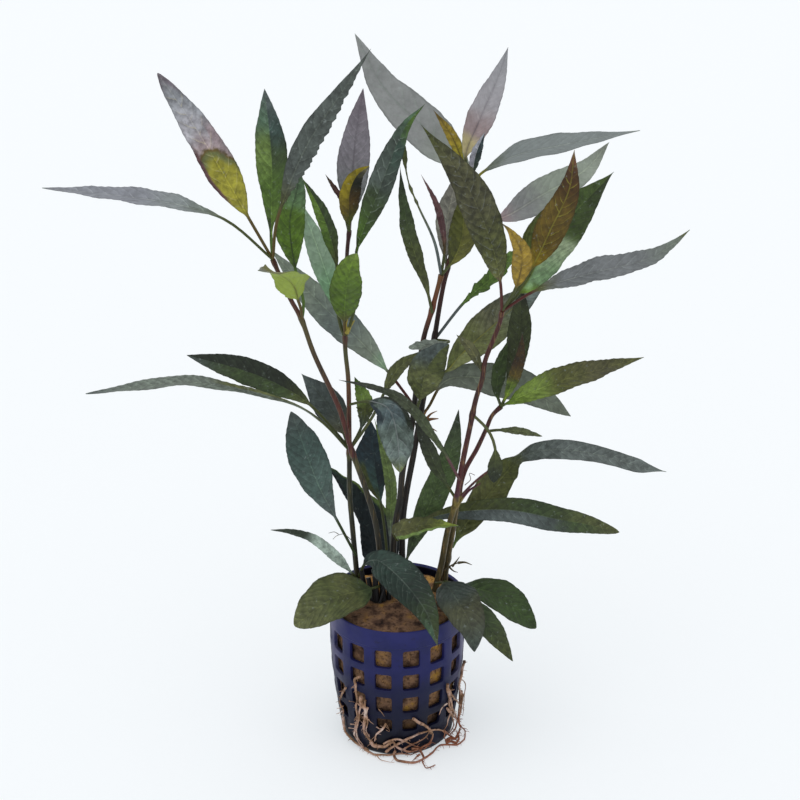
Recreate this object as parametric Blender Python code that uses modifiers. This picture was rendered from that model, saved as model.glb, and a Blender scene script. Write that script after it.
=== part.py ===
"""A potted Hygrophila: six stems with long pointed leaves, rooted in a plug of wool in a net pot.

Units are metres and +Z is up. The origin is the centre of the pot's base, on the surface it
stands on. -Y is the side that is looked at, and +X is its right. Routes of stems, leaves and
roots are given in millimetres, and `mm` turns them into metres.
"""
import math
import random

import bmesh
import bpy
from mathutils import Vector

MM = 0.001
GAP = 0.0003

# Net pot
POT_HEIGHT = 55.5 * MM
POT_RIM_RADIUS = 25.1 * MM
POT_BODY_RADIUS = 24.6 * MM
POT_BASE_RADIUS = 20.4 * MM
POT_WALL = 1.2 * MM
POT_STRAIGHT_FROM = 42 * MM
POT_FOOT_HEIGHT = 1.2 * MM
POT_FOOT_CHAMFER = 0.8 * MM
RIM_BAND_BOTTOM = 48.4 * MM
RIM_LIP_BOTTOM = 47.9 * MM
COLUMNS = 15
RIB_ANGLE = math.radians(9.5)
WINDOW_ROWS = ((47.2, 40.0), (37.2, 30.5), (27.3, 20.4), (17.4, 11.8))
BASE_SLOT_RADII = (17 * MM, 10 * MM)
LEVEL_TOLERANCE = 0.001 * MM
MERGE_DISTANCE = 0.01 * MM

# Wool plug
WOOL_CLEARANCE = 0.8 * MM
WOOL_TOP = 54.4 * MM
WOOL_DOME = 0.8 * MM
WOOL_BUMP = 0.35 * MM
WOOL_SIDES = 24
WOOL_LEVELS = (2.2, 12, 24, 36, 46, 53.2)
WOOL_TOP_SHARES = (0.88, 0.6, 0.3)
WOOL_SEED = 7
STEM_START = 55.3

# Plant
ROUTE_STEPS = 12
STEM_STATIONS = 13
STEM_LINE_STEPS = 8
STEM_FOOT_RADIUS = 1.0 * MM
STEM_TIP_RADIUS = 0.70 * MM
JOINT_SWELLING = 1.3
JOINT_REACH = 3 * MM
PETIOLE_WIDTH = 1.0 * MM
PETIOLE_DEPTH = 0.9 * MM
PETIOLE_REACH = 0.7 * PETIOLE_WIDTH
PETIOLE_LEAST = 1.5 * MM
BLADE_TOP_DEPTH = 0.12 * MM
BLADE_RIB_DEPTH = 0.55 * MM
BLADE_FOLD = 0.22
FLATTENED_BY = 1 / 3
PETIOLE_STATIONS = 2
BLADE_STATIONS = 8
CLEARANCE_STEPS = 120

# Roots
ROOT_RADIUS = 0.65 * MM
ROOT_TAPER = 0.35
ROOT_CLEARANCE = 0.5 * MM

COLOURS = {
    "pot": ((0.020, 0.024, 0.130, 1.0), 0.45),
    "wool": ((0.170, 0.100, 0.045, 1.0), 0.95),
    "stem": ((0.075, 0.030, 0.015, 1.0), 0.45),
    "root": ((0.420, 0.210, 0.110, 1.0), 0.60),
    "dark_green": ((0.025, 0.050, 0.016, 1.0), 0.40),
    "mid_green": ((0.070, 0.130, 0.022, 1.0), 0.40),
    "lime": ((0.230, 0.340, 0.020, 1.0), 0.45),
    "olive": ((0.120, 0.110, 0.015, 1.0), 0.45),
    "slate": ((0.060, 0.085, 0.085, 1.0), 0.40),
    "lavender": ((0.230, 0.210, 0.250, 1.0), 0.45),
    "navy": ((0.025, 0.035, 0.065, 1.0), 0.40),
    "mint": ((0.230, 0.330, 0.270, 1.0), 0.45),
    "red_gold": ((0.230, 0.090, 0.015, 1.0), 0.45),
    "gold": ((0.450, 0.220, 0.020, 1.0), 0.45),
}


def mm(point):
    """A point in millimetres as a vector in metres."""
    return Vector(point) * MM


def clear_scene():
    for old in list(bpy.data.objects):
        bpy.data.objects.remove(old, do_unlink=True)


def new_collection(name):
    collection = bpy.data.collections.new(name)
    bpy.context.scene.collection.children.link(collection)
    return collection


def material(finish):
    """The Principled material of a finish, made the first time it is asked for."""
    if finish in bpy.data.materials:
        return bpy.data.materials[finish]
    colour, roughness = COLOURS[finish]
    made = bpy.data.materials.new(finish)
    made.use_nodes = True
    shader = made.node_tree.nodes["Principled BSDF"]
    shader.inputs["Base Color"].default_value = colour
    shader.inputs["Roughness"].default_value = roughness
    shader.inputs["Metallic"].default_value = 0.0
    return made


def add_object(name, mesh, finish, smooth_angle=40):
    """A shaded object in the part's collection."""
    mesh.materials.append(material(finish))
    mesh.shade_smooth()
    mesh.set_sharp_from_angle(angle=math.radians(smooth_angle))
    placed = bpy.data.objects.new(name, mesh)
    PARTS.objects.link(placed)
    return placed


def add_cutter(name, mesh):
    """A hidden object that another one's Boolean modifier uses."""
    hidden = bpy.data.objects.new(name, mesh)
    hidden.display_type = "WIRE"
    hidden.hide_render = True
    CUTTERS.objects.link(hidden)
    return hidden


def mesh_from_bmesh(name, shape):
    bmesh.ops.recalc_face_normals(shape, faces=shape.faces)
    mesh = bpy.data.meshes.new(name)
    shape.to_mesh(mesh)
    shape.free()
    return mesh


def join_on(base, name, mesh):
    """Grow a further closed mesh onto an object with a Boolean union."""
    extra = add_cutter(name, mesh)
    union = base.modifiers.new(name, "BOOLEAN")
    union.operation = "UNION"
    union.solver = "EXACT"
    union.object = extra


def body_radius(height):
    """Outer radius of the pot's body: upright above, drawn in towards the base."""
    share = min(1.0, height / POT_STRAIGHT_FROM)
    return POT_BASE_RADIUS + (POT_BODY_RADIUS - POT_BASE_RADIUS) * math.sin(share * math.pi / 2)


def route(points, stations):
    """Points spaced evenly along a smooth curve through the given ones (Catmull-Rom)."""
    knots = [mm(p) for p in points]
    knots = [knots[0] * 2 - knots[1]] + knots + [knots[-1] * 2 - knots[-2]]
    fine = []
    for i in range(1, len(knots) - 2):
        before, here, there, after = knots[i - 1 : i + 3]
        for step in range(ROUTE_STEPS):
            t = step / ROUTE_STEPS
            fine.append(
                0.5
                * (
                    here * 2
                    + (there - before) * t
                    + (before * 2 - here * 5 + there * 4 - after) * t**2
                    + (here * 3 - before - there * 3 + after) * t**3
                )
            )
    fine.append(knots[-2])
    lengths = [0.0]
    for a, b in zip(fine, fine[1:]):
        lengths.append(lengths[-1] + (b - a).length)
    found = []
    for distance in stations(lengths[-1]):
        j = 1
        while j < len(lengths) - 1 and lengths[j] < distance:
            j += 1
        span = lengths[j] - lengths[j - 1]
        found.append(fine[j - 1].lerp(fine[j], (distance - lengths[j - 1]) / span))
    return found, lengths[-1]


def even_steps(count):
    return lambda length: [length * i / (count - 1) for i in range(count)]


def tube_mesh(name, points, radii, resolution=1):
    """A closed tube along points, from a curve with round filled ends."""
    curve = bpy.data.curves.new(name, "CURVE")
    curve.dimensions = "3D"
    curve.bevel_depth = 1.0
    curve.bevel_resolution = resolution
    curve.use_fill_caps = True
    spline = curve.splines.new("POLY")
    spline.points.add(len(points) - 1)
    for knot, point, radius in zip(spline.points, points, radii):
        knot.co = (*point, 1.0)
        knot.radius = radius
    wire = bpy.data.objects.new(name, curve)
    CUTTERS.objects.link(wire)
    depsgraph = bpy.context.evaluated_depsgraph_get()
    mesh = bpy.data.meshes.new_from_object(wire.evaluated_get(depsgraph))
    bpy.data.objects.remove(wire, do_unlink=True)
    shape = bmesh.new()
    shape.from_mesh(mesh)
    bmesh.ops.remove_doubles(shape, verts=shape.verts, dist=MERGE_DISTANCE)
    bpy.data.meshes.remove(mesh)
    return mesh_from_bmesh(name, shape)


def blade_share(along, belly, base, tip):
    """Share of a leaf's full width at a place along its blade."""
    if along < belly:
        return math.sin(math.pi / 2 * along / belly) ** base
    return math.cos(math.pi / 2 * (along - belly) / (1 - belly)) ** tip


def leaf_mesh(name, points, width, face, petiole, outline, start, tip_face, uneven):
    """A leaf: a square stalk lofted into a blade folded along its midrib, down to a tip."""

    def stations(length):
        stalk = [start + (petiole - start) * i / PETIOLE_STATIONS for i in range(PETIOLE_STATIONS)]
        blade = [
            petiole + (length - petiole) * i / BLADE_STATIONS for i in range(BLADE_STATIONS + 1)
        ]
        return stalk + blade

    centres, length = route(points, stations)
    face_at_base = Vector(face).normalized()
    face_at_tip = Vector(tip_face or face).normalized()
    shape = bmesh.new()
    rings = []
    for i, centre in enumerate(centres[:-1]):
        before = centres[max(i - 1, 0)]
        tangent = (centres[i + 1] - before).normalized()
        share = i / (len(centres) - 1)
        look = face_at_base.lerp(face_at_tip, share)
        up = (look - tangent * look.dot(tangent)).normalized()
        side = tangent.cross(up)
        along = max(0.0, (i - PETIOLE_STATIONS) / BLADE_STATIONS)
        share_of_width = blade_share(along, *outline)
        if uneven and i > PETIOLE_STATIONS:
            share_of_width = uneven[i - PETIOLE_STATIONS - 1]
        spread = max(PETIOLE_WIDTH, width * MM * share_of_width)
        thin = min(1.0, along / FLATTENED_BY)
        above = PETIOLE_DEPTH / 2 * (1 - thin) + BLADE_TOP_DEPTH * thin
        below = PETIOLE_DEPTH / 2 * (1 - thin) + (BLADE_RIB_DEPTH - BLADE_TOP_DEPTH) * thin
        lift = BLADE_FOLD * spread / 4 * thin
        ring = [
            centre - side * spread / 2 + up * lift,
            centre + up * (above - lift),
            centre + side * spread / 2 + up * lift,
            centre - up * (below + lift),
        ]
        rings.append([shape.verts.new(corner) for corner in ring])
    tip = shape.verts.new(centres[-1])
    shape.faces.new(rings[0])
    for lower, upper in zip(rings, rings[1:]):
        for k in range(4):
            shape.faces.new((lower[k], lower[(k + 1) % 4], upper[(k + 1) % 4], upper[k]))
    for k in range(4):
        shape.faces.new((rings[-1][k], rings[-1][(k + 1) % 4], tip))
    return mesh_from_bmesh(name, shape)


def clear_start(points, on):
    """How far along its route a leaf has come clear of the stem it sits on."""
    centres, length = route(points, even_steps(CLEARANCE_STEPS))
    for i, centre in enumerate(centres):
        clear = min(
            (centre - knot).length - radius for knot, radius in zip(on["line"], on["radii"])
        )
        if clear > PETIOLE_REACH + GAP:
            return length * i / (CLEARANCE_STEPS - 1)
    return length


def leaf(
    on, name, finish, points, width, face, petiole, belly, base, tip,
    tip_face=None, fused=False, uneven=None,
):
    """Place a leaf on a stem. Its points run from the stem's centre to the tip, in millimetres.

    face is the direction its upper side looks in, and tip_face the same at the tip where the
    blade twists. belly is where along the blade it is widest; base and tip say how it narrows
    to its two ends, below 1 rounded and above 1 drawn out. uneven gives a leaf with a waist its
    own shares of the width, one for each station of the blade before the tip. A small leaf is
    fused with its stem.
    """
    outline = (belly, base, tip)
    start = 0.0 if fused else clear_start(points, on)
    stalk_end = max(petiole * MM, start + PETIOLE_LEAST)
    mesh = leaf_mesh(name, points, width, face, stalk_end, outline, start, tip_face, uneven)
    if fused:
        mesh.materials.append(material(finish))
        join_on(on["object"], name, mesh)
        return
    add_object(name, mesh, finish)


def stem(name, points, joints):
    """A stem from the wool to its tip, a little swollen at the joints that bear leaves."""
    centres, _ = route(points, even_steps(STEM_STATIONS))
    radii = []
    for i, centre in enumerate(centres):
        share = i / (STEM_STATIONS - 1)
        radius = STEM_FOOT_RADIUS + (STEM_TIP_RADIUS - STEM_FOOT_RADIUS) * share
        nearest = min(abs(centre.z - height * MM) for height in joints)
        if nearest < JOINT_REACH:
            radius *= JOINT_SWELLING
        radii.append(radius)
    made = add_object(name, tube_mesh(name, centres, radii), "stem")
    line = []
    thick = []
    for a, b, ra, rb in zip(centres, centres[1:], radii, radii[1:]):
        for i in range(STEM_LINE_STEPS):
            line.append(a.lerp(b, i / STEM_LINE_STEPS))
            thick.append(ra + (rb - ra) * i / STEM_LINE_STEPS)
    return {"object": made, "line": line + centres[-1:], "radii": thick + radii[-1:]}


def build_pot():
    """The net pot: a profile spun round the axis, its window faces taken out, then thickened."""
    levels = [(POT_RIM_RADIUS, POT_HEIGHT), (POT_RIM_RADIUS, RIM_BAND_BOTTOM)]
    levels.append((body_radius(RIM_LIP_BOTTOM), RIM_LIP_BOTTOM))
    for row in WINDOW_ROWS:
        for height in row:
            levels.append((body_radius(height * MM), height * MM))
    levels.append((body_radius(POT_FOOT_HEIGHT), POT_FOOT_HEIGHT))
    levels.append((POT_BASE_RADIUS - POT_FOOT_CHAMFER, 0.0))
    for radius in BASE_SLOT_RADII:
        levels.append((radius, 0.0))
    levels.append((0.0, 0.0))

    shape = bmesh.new()
    start_angle = -math.pi / 2 - RIB_ANGLE / 2
    profile = []
    for radius, height in levels:
        x = radius * math.cos(start_angle)
        y = radius * math.sin(start_angle)
        profile.append(shape.verts.new((x, y, height)))
    front = profile + [shape.edges.new(pair) for pair in zip(profile, profile[1:])]
    window_angle = math.tau / COLUMNS - RIB_ANGLE
    windows = []
    for _ in range(COLUMNS):
        for angle in (RIB_ANGLE, window_angle):
            swept = bmesh.ops.spin(
                shape, geom=front, axis=(0, 0, 1), cent=(0, 0, 0), angle=angle, steps=1
            )
            new_faces = {f for e in swept["geom_last"] for f in e.link_faces}
            if angle == window_angle:
                windows += [f for f in new_faces if in_window(f)]
            front = swept["geom_last"]
    bmesh.ops.delete(shape, geom=list(set(windows)), context="FACES_ONLY")
    bmesh.ops.remove_doubles(shape, verts=shape.verts, dist=MERGE_DISTANCE)
    pot = add_object("net_pot", mesh_from_bmesh("net_pot", shape), "pot", 30)
    wall = pot.modifiers.new("wall", "SOLIDIFY")
    wall.thickness = POT_WALL
    wall.offset = -1.0
    wall.use_even_offset = True


def in_window(face):
    """Whether a face of the pot's sheet lies in a row of windows or in the base's slots."""
    centre = face.calc_center_median()
    top = max(v.co.z for v in face.verts)
    bottom = min(v.co.z for v in face.verts)
    for high, low in WINDOW_ROWS:
        at_top = abs(top - high * MM) < LEVEL_TOLERANCE
        at_bottom = abs(bottom - low * MM) < LEVEL_TOLERANCE
        if at_top and at_bottom:
            return True
    outer, inner = BASE_SLOT_RADII
    return top < LEVEL_TOLERANCE and inner < centre.to_2d().length < outer


def build_wool():
    """The wool plug: it fills the pot and swells a little in the middle."""
    noise = random.Random(WOOL_SEED)
    levels = []
    for height in WOOL_LEVELS:
        radius = body_radius(height * MM) - POT_WALL - WOOL_CLEARANCE
        levels.append((radius, height * MM))
    shape = bmesh.new()
    rings = []
    for radius, height in levels:
        ring = []
        for i in range(WOOL_SIDES):
            angle = math.tau * i / WOOL_SIDES
            bumped = radius - noise.random() * WOOL_BUMP
            x = bumped * math.cos(angle)
            y = bumped * math.sin(angle)
            ring.append(shape.verts.new((x, y, height)))
        rings.append(ring)
    edge_radius = levels[-1][0]
    for share in WOOL_TOP_SHARES:
        ring = []
        for i in range(WOOL_SIDES):
            angle = math.tau * i / WOOL_SIDES
            x = edge_radius * share * math.cos(angle)
            y = edge_radius * share * math.sin(angle)
            height = WOOL_TOP - WOOL_DOME * share**2 - noise.random() * WOOL_BUMP
            ring.append(shape.verts.new((x, y, height)))
        rings.append(ring)
    for lower, upper in zip(rings, rings[1:]):
        for i in range(WOOL_SIDES):
            j = (i + 1) % WOOL_SIDES
            shape.faces.new((lower[i], lower[j], upper[j], upper[i]))
    crown = shape.verts.new((0, 0, WOOL_TOP))
    foot = shape.verts.new((0, 0, levels[0][1]))
    for i in range(WOOL_SIDES):
        j = (i + 1) % WOOL_SIDES
        shape.faces.new((rings[-1][i], rings[-1][j], crown))
        shape.faces.new((rings[0][j], rings[0][i], foot))
    add_object("wool_plug", mesh_from_bmesh("wool_plug", shape), "wool", 60)


def on_wall(angle, height):
    """A point just outside the pot's wall, in millimetres; angle 0 is the front, + is right."""
    turn = math.radians(angle)
    radius = (body_radius(height * MM) + ROOT_CLEARANCE + ROOT_RADIUS) / MM
    return (radius * math.sin(turn), -radius * math.cos(turn), height)


def root(name, strands):
    """A group of roots that are grown together: each strand is a tube, joined to the first."""
    grown = None
    for i, (points, count) in enumerate(strands):
        centres, _ = route(points, even_steps(count))
        radii = [ROOT_RADIUS * (1.0 - ROOT_TAPER * k / (count - 1)) for k in range(count)]
        mesh = tube_mesh(f"{name}_strand_{i}", centres, radii)
        if grown is None:
            grown = add_object(name, mesh, "root")
        else:
            join_on(grown, f"{name}_strand_{i}", mesh)


clear_scene()
PARTS = new_collection("potted_hygrophila")
CUTTERS = new_collection("cutters")

build_pot()
build_wool()

# Leaning stem at the far left, with a rosette of six leaves at its top
leaning = stem(
    "stem_left_leaning",
    [
        (-5, 2, STEM_START), (-7, 3, 79), (-11, 3, 97), (-16, 3, 113), (-20, 1, 130),
        (-28, -3, 152), (-32, -5, 166), (-36, -6, 175), (-41, -8, 189),
    ],
    joints=(112, 166, 188),
)
leaf(leaning, "leaf_far_left", "lavender",
     [(-41, -8, 189), (-55, -10, 203), (-70.5, -9, 208.5), (-90, -7, 211), (-116, -4, 212.5)],
     11.5, (0, -0.15, 1), petiole=21.5, belly=0.4, base=1.1, tip=1.0)
leaf(leaning, "leaf_lavender_left", "lavender",
     [(-41, -8, 189), (-49, -5, 203), (-59, 1, 219.5), (-67, 5, 232), (-78, 10, 247)],
     11, (0.35, -1, 0.35), petiole=16.5, belly=0.34, base=0.8, tip=0.65)
leaf(leaning, "leaf_green_upright", "dark_green",
     [(-41, -8, 189), (-41.5, -5, 197.5), (-41, 0, 220.5), (-43, 6, 243)],
     10.5, (0.1, -1, 0.2), petiole=6.5, belly=0.58, base=1.3, tip=1.0)
leaf(leaning, "leaf_dark_serrated", "slate",
     [(-41, -8, 189), (-38.5, -11, 205.5), (-29, -12.5, 229), (-17, -12, 247.5), (-8, -10, 260.5)],
     8.5, (0.2, -1, 0.6), petiole=19, belly=0.4, base=1.0, tip=1.3)
leaf(leaning, "leaf_green_midrib", "mid_green",
     [(-32, -5, 166), (-31.5, -2, 172), (-34, -2, 183.5),
      (-35.5, -1, 199), (-33, 1, 210), (-32, 3, 216.5)],
     10, (0.1, -1, 0.2), petiole=18.5, belly=0.46, base=0.9, tip=0.9)
leaf(leaning, "leaf_lime_cupped", "lime",
     [(-32, -5, 166), (-32, -8, 171), (-33, -12, 177),
      (-34.5, -18, 185.5), (-39, -25, 191.5), (-44.5, -28, 193)],
     12, (-0.3, -0.2, 1), petiole=12.5, belly=0.4, base=0.7, tip=0.9)

# Upright stem beside it
upright = stem(
    "stem_left_upright",
    [
        (-14, 6, STEM_START), (-16, 7, 78), (-17, 8, 93), (-17, 9, 109), (-17, 9, 136),
        (-18, 8, 153), (-17, 7, 183), (-16, 6, 194),
    ],
    joints=(109, 154, 193),
)
leaf(upright, "leaf_green_slim", "mid_green",
     [(-18, 8, 154), (-20, 6, 161.5), (-20.5, 4, 175), (-20.5, 4, 183.5),
      (-23.5, 3, 197), (-27, 2, 206), (-31, 2, 213.5)],
     5.5, (0.3, -1, 0.3), petiole=28, belly=0.45, base=0.9, tip=1.0)
leaf(upright, "leaf_mint_back", "mint",
     [(-18, 8, 153), (-22.5, 11, 170.5), (-26, 13, 181.5), (-30, 14, 193.5), (-32, 15, 200)],
     8.5, (0.2, -1, 0.2), petiole=9.5, belly=0.5, base=1.0, tip=1.0)
leaf(upright, "leaf_green_ovate", "mid_green",
     [(-18, 8, 154), (-18, 3, 164.5), (-17, -5, 177.5), (-15.5, -9, 186.5), (-13, -12, 192.5)],
     11, (0, -1, 0.6), petiole=8.5, belly=0.5, base=0.65, tip=0.6)
leaf(upright, "leaf_lavender_upright", "lavender",
     [(-16, 6, 193), (-15.5, 7, 200), (-14.5, 9, 216), (-13, 10, 229.5), (-11, 10, 242)],
     11, (0.1, -1, 0.1), petiole=4, belly=0.42, base=1.0, tip=1.0)
leaf(upright, "leaf_blue_green", "dark_green",
     [(-18, 8, 154), (-15, 4, 164), (-13, 0, 178.5), (-13.5, -2, 189.5),
      (-7, -6, 209.5), (2, -8, 233), (9, -8, 242)],
     8.5, (-0.2, -1, 0.3), petiole=37.5, belly=0.47, base=1.0, tip=1.2)
leaf(upright, "young_gold_left", "gold",
     [(-16, 6, 193), (-16, 3, 200.5), (-15.5, 1, 209.5), (-13, 0, 215.5), (-9, -1, 219)],
     7.5, (0.3, -1, 0.3), petiole=3.5, belly=0.45, base=0.9, tip=0.9, fused=True)
leaf(upright, "young_red_left", "red_gold",
     [(-16, 6, 193), (-18.5, 4, 205.5), (-21, 3, 210.5), (-23.5, 2, 215)],
     2, (0.3, -1, 0.3), petiole=11, belly=0.4, base=0.9, tip=1.0, fused=True)
leaf(upright, "leaf_slate_left", "slate",
     [(-15, 6, 69), (-20.5, 2, 83.5), (-28, -1, 102), (-34, -4, 123.5), (-36.5, -5, 132)],
     13.8, (0, -1, 0.2), petiole=19, belly=0.58, base=1.1, tip=0.8)
leaf(upright, "leaf_pale_left", "mint",
     [(-14, 6, 58), (-17.5, 2.5, 65), (-21.5, 0.5, 71),
      (-26, -1, 76.6), (-31, -2, 81), (-38, -3, 83.8), (-45, -3, 84.5)],
     4.2, (0.3, -0.9, -0.3), petiole=6.5, belly=0.3, base=1.0, tip=0.8, tip_face=(0, -0.6, 0.8))
leaf(upright, "leaf_dark_left", "dark_green",
     [(-17, 9, 111), (-29, 2, 130), (-38.5, 0, 138.5), (-52, 0, 145), (-72, 0, 151)],
     10, (0, -0.9, 0.7), petiole=25, belly=0.48, base=0.9, tip=0.9)
leaf(upright, "leaf_far_left_low", "slate",
     [(-17, 9, 110), (-26.5, -2, 127), (-38.5, -6, 136.5),
      (-68.5, -10, 145.5), (-88.5, -12, 144.5), (-105.5, -12, 142)],
     8, (0, -0.1, 1), petiole=25, belly=0.6, base=1.2, tip=0.8)
leaf(upright, "leaf_slate_back", "slate",
     [(-17, 9, 109), (-19.5, 13, 116), (-25.5, 18, 125), (-34, 20, 135)],
     11.5, (0.3, -1, 0.3), petiole=7, belly=0.42, base=0.8, tip=1.2)
leaf(upright, "young_olive_left", "olive",
     [(-17, 9, 110), (-12.5, 13, 118), (-11.5, 14, 126.5), (-15, 14, 136.5)],
     6.5, (0, -1, 0.3), petiole=8.5, belly=0.45, base=1.0, tip=1.0, fused=True)
leaf(upright, "young_olive_stalked", "olive",
     [(-17, 9, 110), (-9, 6, 124), (-4.5, 6, 134), (0.5, 7, 143), (8.5, 8, 149)],
     5, (-0.4, -1, 0.4), petiole=26.5, belly=0.45, base=1.0, tip=1.0, fused=True)
leaf(upright, "leaf_slate_veined", "slate",
     [(-17, 9, 128), (-10, 3, 132), (-3, -2, 131.5), (0, -8, 124), (1, -13, 112.5)],
     12.5, (0, -0.6, 1), petiole=11, belly=0.5, base=0.6, tip=0.8)

# Two stems close together in the middle
front_centre = stem(
    "stem_centre_front",
    [
        (-2, 4, STEM_START), (-1, 4, 79), (1, 4, 93), (2, 4, 105), (5, 4, 121), (7, 4, 140),
        (9, 4, 155), (12, 5, 166), (15, 6, 178),
    ],
    joints=(166, 178),
)
leaf(front_centre, "leaf_wavy", "dark_green",
     [(12, 4, 165), (9.5, 3, 176.5), (4.5, 2, 192), (2, 1, 206.5), (1, 0, 218.5)],
     5.5, (0.2, -1, 0.2), petiole=4.5, belly=0.48, base=1.0, tip=1.3)
leaf(front_centre, "leaf_olive_centre", "olive",
     [(15, 6, 178), (18.5, 4, 183.5), (21.5, 2, 192), (22, 0, 202.5), (21.5, -1, 210)],
     9.5, (0, -1, 0.3), petiole=5, belly=0.45, base=0.9, tip=0.9)
leaf(front_centre, "leaf_olive_ovate", "olive",
     [(6, 4, 125), (8, 1, 134.5), (10, -4, 147), (14, -7, 155), (17.5, -8, 158.5)],
     12.5, (0, -1, 0.3), petiole=9, belly=0.48, base=0.8, tip=0.7)
leaf(front_centre, "young_curled", "olive",
     [(15, 6, 178), (12.5, 5, 190.5), (7, 4, 203.5), (3.5, 4, 213), (2, 3, 226)],
     2, (0, -1, 0.3), petiole=9.5, belly=0.6, base=0.6, tip=0.5, fused=True)
leaf(front_centre, "young_burgundy", "red_gold",
     [(15, 6, 178), (16, 7, 188.5), (13.5, 7, 202), (8, 8, 213)],
     2.5, (0, -1, 0.3), petiole=7, belly=0.45, base=0.8, tip=1.1, fused=True)

rear_centre = stem(
    "stem_centre_rear",
    [
        (2, 8, STEM_START), (2, 9, 82), (6, 10, 109), (8, 10, 122), (11, 11, 140),
        (13, 11, 153), (15, 11, 167), (17, 12, 177), (21, 14, 193), (26, 16, 207),
    ],
    joints=(123, 153, 178, 206),
)
leaf(rear_centre, "leaf_lavender_back", "lavender",
     [(17, 12, 178), (16.5, 14, 185), (17.5, 17, 196), (20.5, 19, 210)],
     8.5, (0.2, -1, 0.2), petiole=3, belly=0.5, base=0.9, tip=1.0)
leaf(rear_centre, "leaf_grey_broad", "mint",
     [(26, 16, 206), (21, 19, 213.5), (10.5, 22, 223.5), (-4.5, 25, 238), (-14, 26, 256)],
     15, (0.3, -1, 0.4), petiole=3, belly=0.36, base=0.9, tip=1.0)
leaf(rear_centre, "leaf_pink_tall", "lavender",
     [(26, 16, 206), (23, 17, 216), (27.5, 18, 228.5), (33.5, 18, 243.5), (36.5, 18, 253.5)],
     9.5, (0, -1, 0.2), petiole=10.5, belly=0.38, base=0.8, tip=1.1)
leaf(rear_centre, "leaf_grey_right", "slate",
     [(26, 16, 206), (28.5, 13, 212), (40, 10, 219.5), (55.5, 7, 224), (79.5, 4, 229.5)],
     13, (0, -0.3, 1), petiole=8, belly=0.36, base=0.9, tip=1.35)
leaf(rear_centre, "leaf_pale_right", "mint",
     [(23, 15, 196), (35, 19, 193.5), (50, 23, 201), (63.5, 25, 208.5), (72, 26, 218.5)],
     11.5, (0, -1, 0.5), petiole=12, belly=0.38, base=0.8, tip=1.0)
leaf(rear_centre, "young_gold_top", "gold",
     [(26, 16, 206), (21.5, 13, 217), (18, 11, 225.5), (12, 10, 234.5)],
     4, (0.2, -1, 0.2), petiole=10.5, belly=0.42, base=0.8, tip=1.2, fused=True)
leaf(rear_centre, "young_dark_top", "navy",
     [(26, 16, 206), (25.5, 14, 212.5), (26.5, 12, 219.5), (29, 11, 226.5)],
     4, (0.2, -1, 0.2), petiole=5, belly=0.45, base=0.8, tip=1.0, fused=True)
leaf(rear_centre, "leaf_green_narrow", "mid_green",
     [(13, 11, 152), (23, 13, 165), (33.5, 14, 175), (44, 14, 187.5)],
     6, (-0.2, -0.8, 0.6), petiole=15, belly=0.48, base=1.0, tip=1.0)
leaf(rear_centre, "leaf_grey_midrib", "slate",
     [(11, 11, 140), (17, 14, 138.5), (21, 16, 142.5), (25.5, 18, 146.5),
      (33.5, 20, 153.5), (43, 22, 161.5), (51.5, 23, 168)],
     14, (0, -0.7, 0.7), petiole=7, belly=0.5, base=0.8, tip=0.9)
leaf(rear_centre, "leaf_slate_centre", "slate",
     [(8, 10, 123), (11, 12, 125.5), (16, 14, 134), (23, 15, 136),
      (33, 15, 135), (46, 14.5, 131.5), (61.5, 12, 122)],
     12.5, (0, -0.8, 0.6), petiole=11.5, belly=0.5, base=0.7, tip=0.9)
leaf(rear_centre, "leaf_slate_long", "slate",
     [(8, 10, 124), (-2.5, 14, 137.5), (-14, 17, 150),
      (-25, 20, 160), (-35, 22, 170.5), (-43.5, 22, 181)],
     11.5, (0.3, -1, 0.3), petiole=19, belly=0.42, base=0.9, tip=1.0)
leaf(rear_centre, "young_grey_flat", "slate",
     [(13, 11, 152), (18, 7, 153), (12, 1, 154.5), (4, -3, 155)],
     5.5, (0, -0.3, 0.9), petiole=9, belly=0.5, base=0.7, tip=0.5, fused=True)

# Low leaves of the middle stems
leaf(rear_centre, "leaf_navy", "navy",
     [(-3, 8, 60), (-5, 13, 79.5), (-8, 14, 100.5), (-9.5, 15, 119)],
     8.5, (0, -1, 0.2), petiole=27.5, belly=0.5, base=0.9, tip=0.9)
leaf(front_centre, "leaf_green_strip", "mid_green",
     [(-2, 6, 62), (-2.5, 9, 82), (-2.5, 9, 98), (-8, 10, 122)],
     4.5, (0.3, -1, 0.2), petiole=10.5, belly=0.45, base=0.8, tip=1.2)
leaf(rear_centre, "leaf_teal_back", "navy",
     [(-4, 9, 57), (-7, 14, 60), (-9.5, 18, 67.5),
      (-13.5, 20, 77.5), (-19.5, 20, 89), (-25, 20, 98.5)],
     9.5, (0.3, -1, 0.5), petiole=6, belly=0.38, base=0.8, tip=1.2)
leaf(rear_centre, "leaf_mid_green", "mid_green",
     [(2, 10, 60), (6, 16, 69.5), (13.5, 18, 88), (19.5, 18, 105.5), (22, 18, 122)],
     10.5, (0.2, -1, 0.2), petiole=4.5, belly=0.46, base=0.9, tip=1.0)
leaf(front_centre, "leaf_olive_low", "olive",
     [(0, 3, 77), (-1, -2, 82.5), (3, -6, 86.5), (11.5, -8, 89.5), (21.5, -8, 89)],
     7.5, (-0.3, -1, 0.3), petiole=5, belly=0.35, base=0.8, tip=0.9, tip_face=(0, -0.2, 1))
leaf(rear_centre, "leaf_slate_right", "slate",
     [(2.5, 9, 77), (12, 13, 80.5), (23, 13.5, 83), (40.5, 9, 86),
      (57.5, 3, 85.5), (68, 0, 85), (79, -3, 83.5)],
     9.8, (0.1, -1, 0.6), petiole=4.5, belly=0.6, base=0.9, tip=0.65)

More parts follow.
